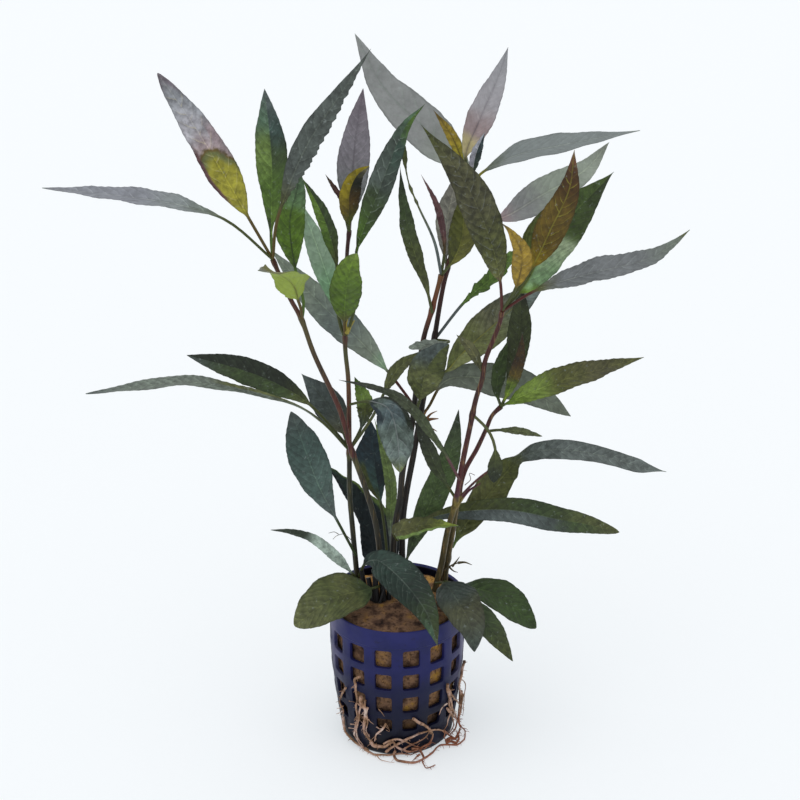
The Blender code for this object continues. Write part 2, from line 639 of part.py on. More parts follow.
# Main stem on the right, with its rosette
main_right = stem(
    "stem_right_main",
    [
        (13, 6, STEM_START), (16, 6, 65), (18, 5, 79), (21, 2, 94), (23, 0, 110), (25, -2, 123),
        (27, -4, 136), (29, -5, 144), (30, -6, 152), (34, -8, 165), (35, -9, 171),
    ],
    joints=(94, 130, 170),
)
leaf(main_right, "leaf_olive_front", "olive",
     [(35, -9, 171), (33.6, -15, 185.5), (29, -20, 203.5), (20.5, -24, 223), (7.5, -22, 239.5)],
     12, (0.2, -1, 0.3), petiole=14.5, belly=0.44, base=0.6, tip=1.3)
leaf(main_right, "leaf_red_gold", "red_gold",
     [(35, -9, 171), (44.5, -10, 187), (50.5, -10, 201), (56, -7, 213), (57.5, -4, 225.5)],
     10.5, (-0.2, -1, 0.3), petiole=18.5, belly=0.36, base=0.8, tip=1.1)
leaf(main_right, "leaf_silver_green", "mid_green",
     [(35, -9, 171), (43, -6, 179.5), (51, 0, 193), (61, 5, 203), (72, 8, 214)],
     17, (-0.2, -1, 0.4), petiole=8.5, belly=0.42, base=0.6, tip=1.3)
leaf(main_right, "leaf_lavender_right", "lavender",
     [(35, -9, 171), (46.5, -11, 179.5), (64, -12, 186),
      (81, -11, 190), (89.5, -9, 194), (96, -8, 199.5)],
     12, (0, -0.35, 1), petiole=13, belly=0.42, base=0.8, tip=1.2)
leaf(main_right, "young_orange", "gold",
     [(35, -9, 171), (39.3, -14, 182), (40.5, -19, 194.5), (37, -22, 203), (33, -24, 208)],
     7, (0.1, -1, 0.2), petiole=12.5, belly=0.36, base=0.7, tip=1.5, fused=True)
leaf(main_right, "leaf_dark_narrow", "dark_green",
     [(22, 0, 103), (15, -4, 118), (4.5, -10, 136), (-5.5, -14, 144.5), (-19.5, -16, 149)],
     4, (0, -0.8, 0.7), petiole=11, belly=0.42, base=0.8, tip=1.0)
leaf(main_right, "young_dark_hanging", "dark_green",
     [(26, -3, 130), (31.5, -7, 125.5), (34, -8, 118), (33.5, -10, 107)],
     5.5, (0, -1, 0.2), petiole=14.5, belly=0.6, base=1.1, tip=0.7, fused=True)
leaf(main_right, "young_dark_right", "dark_green",
     [(21, 2, 94), (14, 3, 106), (11, 2, 114), (6, 2, 125)],
     5.5, (0.2, -1, 0.3), petiole=6, belly=0.5, base=0.9, tip=1.0, fused=True)
leaf(main_right, "young_grey_narrow", "slate",
     [(29.5, -5, 145.5), (27.5, -6, 151), (24.5, -7, 157), (20, -8, 162)],
     4, (0.3, -1, 0.3), petiole=2.5, belly=0.5, base=0.7, tip=1.0, fused=True)

# Branch stem on the right
branch_right = stem(
    "stem_right_branch",
    [
        (17, 9, STEM_START), (18, 9, 63), (20, 8, 77), (22, 6, 94), (24, 5, 104), (28, 4, 113),
        (31, 3, 121), (33, 2, 127), (36, 1, 131),
    ],
    joints=(66, 94, 131),
)
leaf(branch_right, "leaf_dark_upright", "dark_green",
     [(36, 1, 131), (39.5, 4, 139), (42, 8, 155), (42.5, 9, 173)],
     8.5, (0, -1, 0.2), petiole=5.5, belly=0.52, base=0.8, tip=0.9)
leaf(branch_right, "leaf_olive_right", "olive",
     [(36, 1, 131), (41, -4, 136.5), (55, -5, 143.5), (69, -5, 148), (84, -4, 152)],
     12, (0, -0.45, 1), petiole=3, belly=0.42, base=0.8, tip=1.1)
leaf(branch_right, "young_red_upright", "red_gold",
     [(36, 1, 131), (38.5, -3, 139.5), (41.5, -7, 152.5), (42, -10, 163.5)],
     4.5, (0, -1, 0.3), petiole=4, belly=0.45, base=0.8, tip=1.0, fused=True)
leaf(branch_right, "young_green_upright", "dark_green",
     [(36, 1, 131), (34.5, 1, 137), (35.5, 3, 146), (38, 5, 154)],
     5.5, (0.3, -1, 0.2), petiole=3, belly=0.45, base=0.8, tip=1.0, fused=True)
leaf(branch_right, "young_green_low", "mid_green",
     [(31, 4, 120), (36, 0, 122.5), (42.5, -4, 124), (50, -8, 124)],
     3, (0, -0.7, 0.7), petiole=5, belly=0.5, base=0.9, tip=0.8, fused=True)
leaf(branch_right, "leaf_arching_right", "dark_green",
     [(20, 9, 70.5), (24.5, 14, 76.5), (32.5, 18, 86.5), (39, 18, 96), (44.5, 16, 103.5),
      (52, 14, 107.5), (63, 12, 108.5), (74.5, 10, 107), (86, 8.5, 104), (96, 7, 102.5)],
     14.5, (-0.3, -1, 0.3), petiole=2.5, belly=0.25, base=0.8, tip=1.15, tip_face=(0, -0.5, 1),
     uneven=(0.65, 0.85, 0.6, 0.46, 0.46, 0.45, 0.38))

# Leaves that hang over the rim
leaf(front_centre, "leaf_olive_rim", "olive",
     [(-6, 1, 59), (-10, -6, 62), (-23, -14, 63), (-36.5, -18, 54)],
     17.5, (-0.2, -0.8, 1), petiole=8, belly=0.47, base=0.55, tip=0.6)
leaf(upright, "leaf_teal_front", "navy",
     [(-14, 6, 60), (-11.5, 1, 68.5), (-7, -3, 72), (-1, -13, 73),
      (6, -23, 70), (11, -31, 65.5), (14, -36, 57)],
     14, (0.2, -1, 0.5), petiole=9, belly=0.45, base=0.8, tip=1.0, tip_face=(0.1, -0.6, 0.8))
leaf(main_right, "leaf_slate_front", "slate",
     [(14, 5, 58), (17.5, -2, 61.5), (22.5, -18, 62.5), (26, -26, 58), (27, -32, 52)],
     15, (0, -0.6, 1), petiole=7, belly=0.42, base=0.6, tip=0.8)
leaf(branch_right, "leaf_green_rim", "mid_green",
     [(17, 8, 57), (23.5, 5, 57), (33.5, -1, 58), (41, -6, 55.5), (50, -10, 48)],
     14, (0.2, -0.5, 1), petiole=7, belly=0.5, base=0.8, tip=0.65)
leaf(main_right, "leaf_dark_low", "dark_green",
     [(17, 7, 56), (23.5, -5, 57.5), (33.5, -17, 51.5), (41, -24, 43)],
     10, (0.2, -0.6, 1), petiole=9, belly=0.48, base=0.8, tip=0.9)

# Roots outside the pot, down to the surface it stands on
root("roots_left", [
    ([on_wall(-36, 33), on_wall(-40, 23), on_wall(-42, 15), on_wall(-40, 7), on_wall(-32, 3)], 9),
    ([on_wall(-33, 25), on_wall(-31, 15), on_wall(-30, 8), on_wall(-32, 3), on_wall(-26, 1.5)], 8),
])
root("roots_front", [
    ([on_wall(-21, 3), (-5.5, -24.4, 1), (-0.8, -26.6, 1), (5, -26.3, 1), (10, -23.4, 1.4),
      on_wall(36, 4)], 12),
    ([on_wall(-21, 3), on_wall(-8, 4.5), on_wall(2, 2.5), on_wall(12, 4), on_wall(24, 6),
      on_wall(36, 4)], 12),
    ([on_wall(13, 17), on_wall(26, 13), on_wall(35, 8), on_wall(36, 4)], 7),
    ([on_wall(12, 4), (8, -24.5, 2), (9.7, -27, 1), (11, -29, 1), (14, -27.8, 1)], 7),
])
root("roots_right", [
    ([on_wall(46, 28), on_wall(57, 19), on_wall(66, 11), on_wall(68, 4)], 8),
    ([on_wall(72, 35), on_wall(74, 24), on_wall(75, 13), on_wall(68, 4)], 8),
    ([on_wall(68, 4), (25.5, -9, 2), (27, -12.5, 1), (24, -15.5, 1), on_wall(52, 2)], 9),
])
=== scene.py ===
import math

import bmesh
import bpy
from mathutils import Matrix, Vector, noise


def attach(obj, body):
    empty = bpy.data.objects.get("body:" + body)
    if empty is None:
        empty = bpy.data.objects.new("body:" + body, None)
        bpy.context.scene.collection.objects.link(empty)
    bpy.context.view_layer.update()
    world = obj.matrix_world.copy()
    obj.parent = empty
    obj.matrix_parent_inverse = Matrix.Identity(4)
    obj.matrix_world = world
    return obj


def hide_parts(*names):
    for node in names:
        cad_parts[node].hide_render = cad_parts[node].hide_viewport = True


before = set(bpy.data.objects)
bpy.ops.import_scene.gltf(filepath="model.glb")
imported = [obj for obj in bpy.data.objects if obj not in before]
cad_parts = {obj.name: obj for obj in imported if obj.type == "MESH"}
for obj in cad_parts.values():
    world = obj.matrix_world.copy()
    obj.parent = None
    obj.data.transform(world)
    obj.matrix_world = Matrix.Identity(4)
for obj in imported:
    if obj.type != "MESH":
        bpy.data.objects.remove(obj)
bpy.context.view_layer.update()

# The camera looks down on the pot from the front with a long lens, from an arm's length and a
# half away. The plant has no cord.
camera_data = bpy.data.cameras.new("camera")
camera_data.sensor_width = 36
camera_data.lens = 87.75
camera = bpy.data.objects.new("camera", camera_data)
camera.location = (0.001, -0.6101, 0.4206)
camera.rotation_euler = (math.radians(64.84), 0, 0)
bpy.context.scene.collection.objects.link(camera)
bpy.context.scene.camera = camera
bpy.context.scene.view_settings.view_transform = "Standard"


# The net pot: one injection-moulded basket of satin violet-blue plastic. Windows between ribs and
# hoops are cut in a flat sheet for one rib's width, and the sheet is repeated round the pot.
MM = 0.001
POT_HEIGHT = 55.5 * MM
POT_RIM_RADIUS = 25.1 * MM
POT_BODY_RADIUS = 24.6 * MM
POT_BASE_RADIUS = 20.4 * MM
POT_STRAIGHT_FROM = 42 * MM
POT_WALL = 1.2 * MM
POT_COLUMNS = 15
POT_RIB_ANGLE = 9.5
POT_WINDOW_ROWS = ((47.2, 40.0), (37.2, 30.5), (27.3, 20.4), (17.4, 11.8))
POT_WINDOW_CORNER = 0.8
POT_BASE_RINGS = (19.6, 17, 13.5, 10, 5, 0)
POT_BASE_SLOTS = (9, 16)


class Nodes:
    """Short ways to add nodes to a tree, their sockets fed by name or number."""

    def add(self, kind, feeds=(), settings=(), out=0):
        """Add a node and give the wanted output, or with None the node itself."""
        node = self.tree.nodes.new(kind)
        for key, value in dict(settings).items():
            setattr(node, key, value)
        for key, value in dict(feeds).items():
            self.feed(node.inputs[key], value)
        return node if out is None else node.outputs[out]

    def feed(self, socket, value):
        """Feed a socket a link or a value; three numbers for a colour are a screen's 0 to 255."""
        if isinstance(value, bpy.types.NodeSocket):
            self.tree.links.new(value, socket)
        elif socket.type == "RGBA" and len(value) == 3:
            socket.default_value = tone(value)
        else:
            socket.default_value = value

    def math(self, operation, a, b=0.0, c=0.0):
        return self.add("ShaderNodeMath", {0: a, 1: b, 2: c}, {"operation": operation})

    def times(self, a, b, plus=0.0):
        return self.math("MULTIPLY_ADD", a, b, plus)

    def axes(self, vector):
        return self.add("ShaderNodeSeparateXYZ", {0: vector}, out=None).outputs


class Tree(Nodes):
    """A geometry node tree with named inputs, whose result is read back as a plain mesh."""

    def __init__(self, name, inputs):
        self.tree = bpy.data.node_groups.new(name, "GeometryNodeTree")
        face = self.tree.interface
        face.new_socket("Geometry", in_out="INPUT", socket_type="NodeSocketGeometry")
        for label, kind in inputs.items():
            face.new_socket(label, in_out="INPUT", socket_type="NodeSocket" + kind)
        face.new_socket("Material", in_out="INPUT", socket_type="NodeSocketMaterial")
        face.new_socket("Geometry", in_out="OUTPUT", socket_type="NodeSocketGeometry")
        self.inputs = self.tree.nodes.new("NodeGroupInput").outputs

    def finish(self, geometry):
        """End the tree with Realize Instances and Set Material."""
        real = self.add("GeometryNodeRealizeInstances", {0: geometry})
        feeds = {"Geometry": real, "Material": self.inputs["Material"]}
        done = self.add("GeometryNodeSetMaterial", feeds)
        self.feed(self.tree.nodes.new("NodeGroupOutput").inputs[0], done)

    def grow(self, name, source, values):
        """Run the tree on a mesh and put its result in a plain object at the origin."""
        holder = bpy.data.objects.new(name + "_source", source)
        bpy.context.scene.collection.objects.link(holder)
        modifier = holder.modifiers.new("grow", "NODES")
        modifier.node_group = self.tree
        for item in self.tree.interface.items_tree:
            if item.in_out == "INPUT" and item.name in values:
                modifier[item.identifier] = values[item.name]
        depsgraph = bpy.context.evaluated_depsgraph_get()
        mesh = bpy.data.meshes.new_from_object(holder.evaluated_get(depsgraph))
        bpy.data.objects.remove(holder, do_unlink=True)
        return placed(name, mesh)


def placed(name, mesh, material=None, smooth=35):
    """An object at the origin that shows a mesh."""
    if material:
        mesh.materials.append(material)
    mesh.shade_smooth()
    mesh.set_sharp_from_angle(angle=math.radians(smooth))
    thing = bpy.data.objects.new(name, mesh)
    bpy.context.scene.collection.objects.link(thing)
    return thing


def mesh_from(shape, name):
    """Turn a finished bmesh into a mesh."""
    mesh = bpy.data.meshes.new(name)
    shape.to_mesh(mesh)
    shape.free()
    return mesh


def hand_over(piece, node=None):
    """Hide the solid that a piece stands for, if any, and hang the piece on the body that it rides.
    """
    if node:
        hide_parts(node)
    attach(piece, "root")


def tone(screen):
    """A colour given as it looks on a screen, 0 to 255, as the linear colour a shader takes."""
    channels = [c / 255 for c in screen]
    return tuple(c / 12.92 if c < 0.0404 else ((c + 0.055) / 1.055) ** 2.4
                 for c in channels) + (1.0,)


class Finish(Nodes):
    """A Principled material, and short ways to add the nodes that feed it."""

    def __init__(self, name, roughness=0.5, gloss=0.3):
        self.material = bpy.data.materials.new(name)
        self.material.use_nodes = True
        self.tree = self.material.node_tree
        self.inputs = self.tree.nodes["Principled BSDF"].inputs
        self.feed(self.inputs["Roughness"], roughness)
        self.feed(self.inputs["Specular IOR Level"], gloss)
        self.place = self.add("ShaderNodeTexCoord", out="Object")

    def between(self, value, low, high, start=0.0, end=1.0):
        """Go smoothly from start to end while the value goes from low to high."""
        feeds = {"Value": value, "From Min": low, "From Max": high, "To Min": start, "To Max": end}
        return self.add("ShaderNodeMapRange", feeds, {"interpolation_type": "SMOOTHSTEP"})

    def patches(self, scale, low, high, start=0.0, end=1.0, detail=3):
        """Noise drawn out to patches that go smoothly from start to end."""
        return self.between(self.noise(scale, detail), low, high, start, end)

    def blend(self, factor, a, b, how="MIX"):
        settings = {"data_type": "RGBA", "blend_type": how}
        return self.add("ShaderNodeMix", {0: factor, 6: a, 7: b}, settings, out=2)

    def shade(self, base, by):
        return self.blend(1.0, base, by, "MULTIPLY")

    def ramp(self, value, stops):
        """A colour from stops, each a place from 0 to 1 and a colour."""
        ramp = self.tree.nodes.new("ShaderNodeValToRGB")
        ramp.color_ramp.interpolation = "EASE"
        elements = ramp.color_ramp.elements
        while len(elements) < len(stops):
            elements.new(1.0)
        for element, (place, colour) in zip(elements, stops):
            element.position = place
            element.color = tone(colour) if len(colour) == 3 else colour
        self.feed(ramp.inputs[0], value)
        return ramp.outputs[0]

    def noise(self, scale, detail=3.0, vector=None, roughness=0.55):
        return self.add("ShaderNodeTexNoise", {"Vector": vector or self.place, "Scale": scale,
                                               "Detail": detail, "Roughness": roughness})

    def colour(self, value):
        self.feed(self.inputs["Base Color"], value)

    def rough(self, value):
        self.feed(self.inputs["Roughness"], value)

    def bump(self, height, strength, distance):
        """Raise and sink the surface by a height from 0 to 1."""
        feeds = {"Height": height, "Strength": strength, "Distance": distance}
        self.feed(self.inputs["Normal"], self.add("ShaderNodeBump", feeds))


def pot_body_radius(height):
    share = min(1.0, height / POT_STRAIGHT_FROM)
    return POT_BASE_RADIUS + (POT_BODY_RADIUS - POT_BASE_RADIUS) * math.sin(share * math.pi / 2)


def pot_plastic():
    """Violet-blue plastic, darker towards the foot, greyed at its left and right sides by a painted
    sheen, and near black on the inner wall under the rim by painted shade.
    """
    skin = Finish("pot_plastic", 0.45, 0.18)
    x, y, z = skin.axes(skin.place)
    base = skin.ramp(skin.between(z, 0.0, POT_HEIGHT), [
        (0.0, (2, 3, 13)), (0.25, (6, 9, 34)), (0.5, (18, 22, 56)), (0.8, (30, 33, 84)),
        (1.0, (36, 39, 94))])
    # Painted sheen: the left and right sides, where light grazes the ribs, are mixed towards a pale
    # violet-grey.
    side = skin.between(skin.math("ABSOLUTE", x), 17 * MM, 25 * MM, 0.0, 0.7)
    side_sheen = skin.times(side, skin.between(z, 12 * MM, 40 * MM))
    base = skin.blend(skin.times(side_sheen, skin.patches(130, 0.3, 0.6)), base, (118, 114, 142))
    base = skin.blend(skin.patches(90, 0.35, 0.7, 0.0, 0.45, detail=4), base, (20, 26, 56))
    # Painted shade: the inner wall just under the rim goes near black.
    out = skin.math("SQRT", skin.times(x, x, skin.times(y, y)))
    inside = skin.times(skin.between(out, 24.3 * MM, 24.0 * MM),
                        skin.between(z, 45 * MM, 48 * MM, 0.0, 0.92))
    base = skin.blend(inside, base, (9, 8, 16))
    skin.colour(skin.blend(skin.patches(420, 0.6, 0.75, 0.0, 0.5), base, (28, 26, 50)))
    skin.rough(skin.patches(260, 0.3, 0.7, 0.4, 0.62))
    skin.bump(skin.noise(900, 2), 0.12, 0.1 * MM)
    return skin.material


def pot_sheet():
    """One column of the basket, unrolled: x is the angle, y the height and z the radius."""
    half = POT_RIB_ANGLE / 2
    column = 360 / POT_COLUMNS
    corner = math.degrees(POT_WINDOW_CORNER * MM / POT_BODY_RADIUS)
    inside = column - 2 * half
    across = [0, half * 0.5, half, half + corner]
    across += [half + corner + (inside - 2 * corner) * i / 3 for i in (1, 2)]
    across += [column - half - corner, column - half, column - half * 0.5, column]
    levels = [48]
    for high, low in POT_WINDOW_ROWS:
        levels += [high, high - POT_WINDOW_CORNER, (high + low) / 2, low + POT_WINDOW_CORNER, low]
    rows = [(POT_RIM_RADIUS - 0.25 * MM, POT_HEIGHT), (POT_RIM_RADIUS, POT_HEIGHT - 0.3 * MM),
            (POT_RIM_RADIUS, 52 * MM), (POT_RIM_RADIUS, 48.6 * MM)]
    rows += [(pot_body_radius(level * MM), level * MM) for level in levels + [8, 4, 1.2]]
    rows += [(radius * MM, 0.0) for radius in POT_BASE_RINGS]
    sheet = bmesh.new()
    grid = [[sheet.verts.new((math.radians(a), height, radius)) for a in across]
            for radius, height in rows]
    left, right = math.radians(half), math.radians(column - half)
    inward = 0.3 * POT_WINDOW_CORNER * MM
    for high, low in POT_WINDOW_ROWS:
        for spot in (vert.co for vert in sheet.verts):
            at_side = min(abs(spot.x - left), abs(spot.x - right)) < 1e-6
            at_end = min(abs(spot.y - high * MM), abs(spot.y - low * MM)) < 1e-6
            if at_side and at_end:
                spot.x += math.copysign(inward / POT_BODY_RADIUS,
                                        math.radians(column / 2) - spot.x)
                spot.y += math.copysign(inward, (high + low) / 2 * MM - spot.y)
    near = 0.01
    for r, ((_, top), (reach, bottom)) in enumerate(zip(rows, rows[1:])):
        middle = (top + bottom) / 2 / MM
        is_open = any(low - near < middle < high + near for high, low in POT_WINDOW_ROWS)
        if bottom < near * MM and POT_BASE_SLOTS[0] < reach / MM < POT_BASE_SLOTS[1]:
            is_open = True
        for c in range(len(across) - 1):
            in_window = half - near < across[c] and across[c + 1] < column - half + near
            if not (in_window and is_open):
                sheet.faces.new((grid[r][c], grid[r + 1][c], grid[r + 1][c + 1], grid[r][c + 1]))
    return mesh_from(sheet, "pot_sheet")


pot_tree = Tree("basket_round", {"Columns": "Int", "Column angle": "Float"})
step = pot_tree.add("ShaderNodeCombineXYZ", {0: pot_tree.inputs["Column angle"]})
feeds = {"Count": pot_tree.inputs["Columns"], "Offset": step}
columns = pot_tree.add("GeometryNodeMeshLine", feeds)
flat = pot_tree.add("GeometryNodeInstanceOnPoints",
                    {"Points": columns, "Instance": pot_tree.inputs["Geometry"]})
flat = pot_tree.add("GeometryNodeRealizeInstances", {"Geometry": flat})
flat = pot_tree.add("GeometryNodeMergeByDistance", {"Geometry": flat, "Distance": 1e-5})
angle, height, radius = pot_tree.axes(pot_tree.add("GeometryNodeInputPosition"))
angle = pot_tree.math("SUBTRACT", angle, math.pi)
wrapped = pot_tree.add("ShaderNodeCombineXYZ", {
    0: pot_tree.times(radius, pot_tree.math("SINE", angle)),
    1: pot_tree.times(radius, pot_tree.math("COSINE", angle)), 2: height})
basket = pot_tree.add("GeometryNodeSetPosition", {"Geometry": flat, "Position": wrapped})
pot_tree.finish(pot_tree.add("GeometryNodeMergeByDistance", {"Geometry": basket, "Distance": 1e-5}))
pot = pot_tree.grow("net_pot_basket", pot_sheet(), {
    "Columns": POT_COLUMNS, "Column angle": math.tau / POT_COLUMNS, "Material": pot_plastic()})
shell = bmesh.new()
shell.from_mesh(pot.data)
bmesh.ops.recalc_face_normals(shell, faces=shell.faces)
shell.to_mesh(pot.data)
shell.free()
wall = pot.modifiers.new("wall", "SOLIDIFY")
wall.thickness = POT_WALL
wall.offset = -1.0
wall.use_even_offset = True
edges = pot.modifiers.new("edges", "BEVEL")
edges.width = 0.18 * MM
edges.segments = 2
edges.limit_method = "ANGLE"
hand_over(pot, "net_pot")


# The plug of mineral wool that the plant was raised in: a soft fibrous block, soaked brown, with
# fine roots grown all through it. It fills the pot, and the stems come out of its top.
WOOL_SIDES = 96
WOOL_GAP = 0.7 * MM
WOOL_SHOULDER = ((0.98, 53.0), (0.94, 53.7), (0.86, 54.0), (0.75, 54.2), (0.6, 54.3), (0.45, 54.5),
                 (0.3, 54.6), (0.15, 54.7))
FIBRES = 5200
FIBRE_GROUND = 0.012
FIBRE_TILT = 0.25


def wool_finish():
    """Brown and pinkish wool with yellow sponge at the back, darker towards the bottom, and near
    black with painted shade in the gap under the rim and round the stems' feet.
    """
    skin = Finish("wet_wool", 0.9, 0.15)
    base = skin.ramp(skin.noise(150, 5), [
        (0.32, (30, 22, 20)), (0.4, (84, 62, 50)), (0.5, (128, 99, 77)), (0.6, (142, 108, 74)),
        (0.68, (160, 122, 58)), (0.78, (206, 156, 70))])
    x, y, z = skin.axes(skin.place)
    sponge = skin.times(skin.between(y, -4 * MM, 8 * MM), skin.between(z, 44 * MM, 50 * MM))
    base = skin.blend(skin.times(sponge, skin.patches(240, 0.35, 0.6)), base, (190, 144, 78))
    out = skin.math("SQRT", skin.times(x, x, skin.times(y, y)))
    # Painted shade: the wool down in the gap against the wall, under the rim, goes near black.
    rim_gap_shade = skin.times(skin.between(out, 20.5 * MM, 23 * MM), skin.between(z, 45 * MM, 48.5 * MM))
    base = skin.blend(rim_gap_shade, base, (18, 14, 12))
    base = skin.shade(base, skin.between(z, 8 * MM, 22 * MM, 0.2, 1.0))
    # Painted shade: a near-black patch round the stems' feet, where they crowd together, stands for
    # the deep shade there.
    shaded_place = (-6.5 * MM, 1 * MM, 50 * MM)
    aside = skin.add("ShaderNodeVectorMath", {0: skin.place, 1: shaded_place},
                     {"operation": "DISTANCE"}, out="Value")
    foot_shade = skin.between(skin.times(skin.noise(300), 3 * MM, aside), 6 * MM, 9 * MM, 0.9, 0.0)
    base = skin.blend(foot_shade, base, (14, 13, 14))
    skin.colour(skin.blend(skin.patches(900, 0.52, 0.66, 0.0, 0.7), base, (60, 44, 36)))
    skin.bump(skin.noise(1500, 5, roughness=0.7), 0.8, 0.5 * MM)
    return skin.material


def join_rings(shape, rings):
    """Faces between rings of vertices, each ring to the next."""
    count = len(rings[0])
    return [shape.faces.new((a[k], a[(k + 1) % count], b[(k + 1) % count], b[k]))
            for a, b in zip(rings, rings[1:]) for k in range(count)]


def wool_block():
    """The plug: a barrel with a domed top, lumpy all over."""
    levels = [(1.0, height) for height in (2.3, 6, 12, 18, 24, 30, 36, 42, 48, 52)]
    block = bmesh.new()
    rings = []
    for share, height in levels + list(WOOL_SHOULDER):
        radius = (pot_body_radius(min(height, 48) * MM) - POT_WALL - WOOL_GAP) * share
        ring = []
        for i in range(WOOL_SIDES):
            turn = math.tau * i / WOOL_SIDES
            at = Vector((radius * math.cos(turn), radius * math.sin(turn), height * MM))
            lump = noise.noise(at * 420) * 0.5 + noise.noise(at * 1100) * 0.22 - 0.35
            outward = Vector((at.x, at.y, 0)).normalized() if share == 1.0 else Vector((0, 0, 1))
            ring.append(block.verts.new(at + outward * lump * MM))
        rings.append(ring)
    join_rings(block, rings)
    block.faces.new(rings[-1])
    block.faces.new(rings[0][::-1])
    return mesh_from(block, "wool_block")


def bent_fibre(length, thickness, bend, sides=3, parts=4):
    """A short bent thread that lies along X, thin at both ends."""
    thread = bmesh.new()
    rings = []
    for i in range(parts + 1):
        share = i / parts
        x = (share - 0.5) * length
        y = bend * length * (4 * share * (1 - share) - 0.5)
        thin = thickness * (0.35 + 0.65 * math.sin(math.pi * share))
        turns = [math.tau * k / sides for k in range(sides)]
        rings.append([thread.verts.new((x, y + thin * math.cos(turn), thin * math.sin(turn)))
                      for turn in turns])
    join_rings(thread, rings)
    thread.faces.new(rings[0][::-1])
    thread.faces.new(rings[-1])
    bmesh.ops.recalc_face_normals(thread, faces=thread.faces)
    return mesh_from(thread, "fibre")


wool_tree = Tree("fibres_on_wool", {"Count per area": "Float", "Fibre": "Object", "Seed": "Int"})
scattered = wool_tree.add("GeometryNodeDistributePointsOnFaces", {
    "Mesh": wool_tree.inputs["Geometry"], "Density": wool_tree.inputs["Count per area"],
    "Seed": wool_tree.inputs["Seed"]}, out=None).outputs
spin = wool_tree.add("FunctionNodeRandomValue", {
    "Max": (FIBRE_TILT, FIBRE_TILT, math.tau), "Min": (-FIBRE_TILT, -FIBRE_TILT, 0)},
    {"data_type": "FLOAT_VECTOR"})
turned = wool_tree.add("FunctionNodeRotateRotation", {
    "Rotation": scattered["Rotation"],
    "Rotate By": wool_tree.add("FunctionNodeEulerToRotation", {"Euler": spin})},
    {"rotation_space": "LOCAL"})
sizes = wool_tree.add("FunctionNodeRandomValue", {2: 0.5, 3: 1.3}, {"data_type": "FLOAT"}, out=1)
fibre = wool_tree.add("GeometryNodeObjectInfo", {"Object": wool_tree.inputs["Fibre"]},
                      out="Geometry")
threads = wool_tree.add("GeometryNodeInstanceOnPoints", {
    "Points": scattered["Points"], "Instance": fibre, "Rotation": turned, "Scale": sizes})
together = wool_tree.add("GeometryNodeJoinGeometry", out=None)
for part in (threads, wool_tree.inputs["Geometry"]):
    wool_tree.feed(together.inputs[0], part)
wool_tree.finish(together.outputs[0])
fibre_shape = placed("fibre_shape", bent_fibre(3.6 * MM, 0.09 * MM, 0.22))
wool = wool_tree.grow("wool_plug_body", wool_block(), {
    "Count per area": FIBRES / FIBRE_GROUND, "Fibre": fibre_shape, "Seed": 4,
    "Material": wool_finish()})
bpy.data.objects.remove(fibre_shape, do_unlink=True)
hand_over(wool, "wool_plug")


# The stems: firm, slightly ribbed shoots, thickened at the joints where leaves stand. Near the wool
# they are dark and woody, darkened there further by painted shade deep among the leaves, most on
# the two middle stems, and red-brown to purple higher up.
STEM_RINGS = 90
CURVE_STEPS = 12
JOINT_SWELLING = 0.34
JOINT_REACH = 1.7


def numbers(text):
    """The points, or other groups of numbers, in a text such as "1 2 3, 4 5 6"."""
    return [tuple(map(float, group.split())) for group in text.split(",")]


def route(points, count):
    """Evenly spaced points on a smooth curve through the given ones, and its length, in metres."""
    knots = [Vector(p) * MM for p in points]
    knots = [knots[0] * 2 - knots[1]] + knots + [knots[-1] * 2 - knots[-2]]
    fine = []
    for before, here, there, after in zip(knots, knots[1:], knots[2:], knots[3:]):
        for i in range(CURVE_STEPS):
            t = i / CURVE_STEPS
            fine.append(0.5 * (here * 2 + (there - before) * t
                               + (before * 2 - here * 5 + there * 4 - after) * t**2
                               + (here * 3 - before - there * 3 + after) * t**3))
    fine.append(knots[-2])
    far = [0.0]
    for a, b in zip(fine, fine[1:]):
        far.append(far[-1] + (b - a).length)
    found = []
    j = 1
    for i in range(count):
        want = far[-1] * i / (count - 1)
        while j < len(far) - 1 and far[j] < want:
            j += 1
        found.append(fine[j - 1].lerp(fine[j], (want - far[j - 1]) / (far[j] - far[j - 1])))
    return found, far[-1]


def tubes(name, strands, sides, finish):
    """Round strands, each as its points and their radii, in one object."""
    mesh = bpy.data.meshes.new(name)
    points, links, radii = [], [], []
    for places, thick in strands:
        links += [(len(points) + i, len(points) + i + 1) for i in range(len(places) - 1)]
        points += [tuple(p) for p in places]
        radii += thick
    mesh.from_pydata(points, links, [])
    mesh.attributes.new("thickness", "FLOAT", "POINT").data.foreach_set("value", radii)
    return tube_tree.grow(name, mesh, {"Sides": sides, "Material": finish})


tube_tree = Tree("tubes_along_lines", {"Sides": "Int"})
lines = tube_tree.add("GeometryNodeMeshToCurve", {"Mesh": tube_tree.inputs["Geometry"]})
thickness = tube_tree.add("GeometryNodeInputNamedAttribute", {"Name": "thickness"},
                          {"data_type": "FLOAT"})
circle = tube_tree.add("GeometryNodeCurvePrimitiveCircle",
                       {"Resolution": tube_tree.inputs["Sides"], "Radius": 1.0})
tube_tree.finish(tube_tree.add("GeometryNodeCurveToMesh", {
    "Curve": lines, "Profile Curve": circle, "Scale": thickness, "Fill Caps": True}))


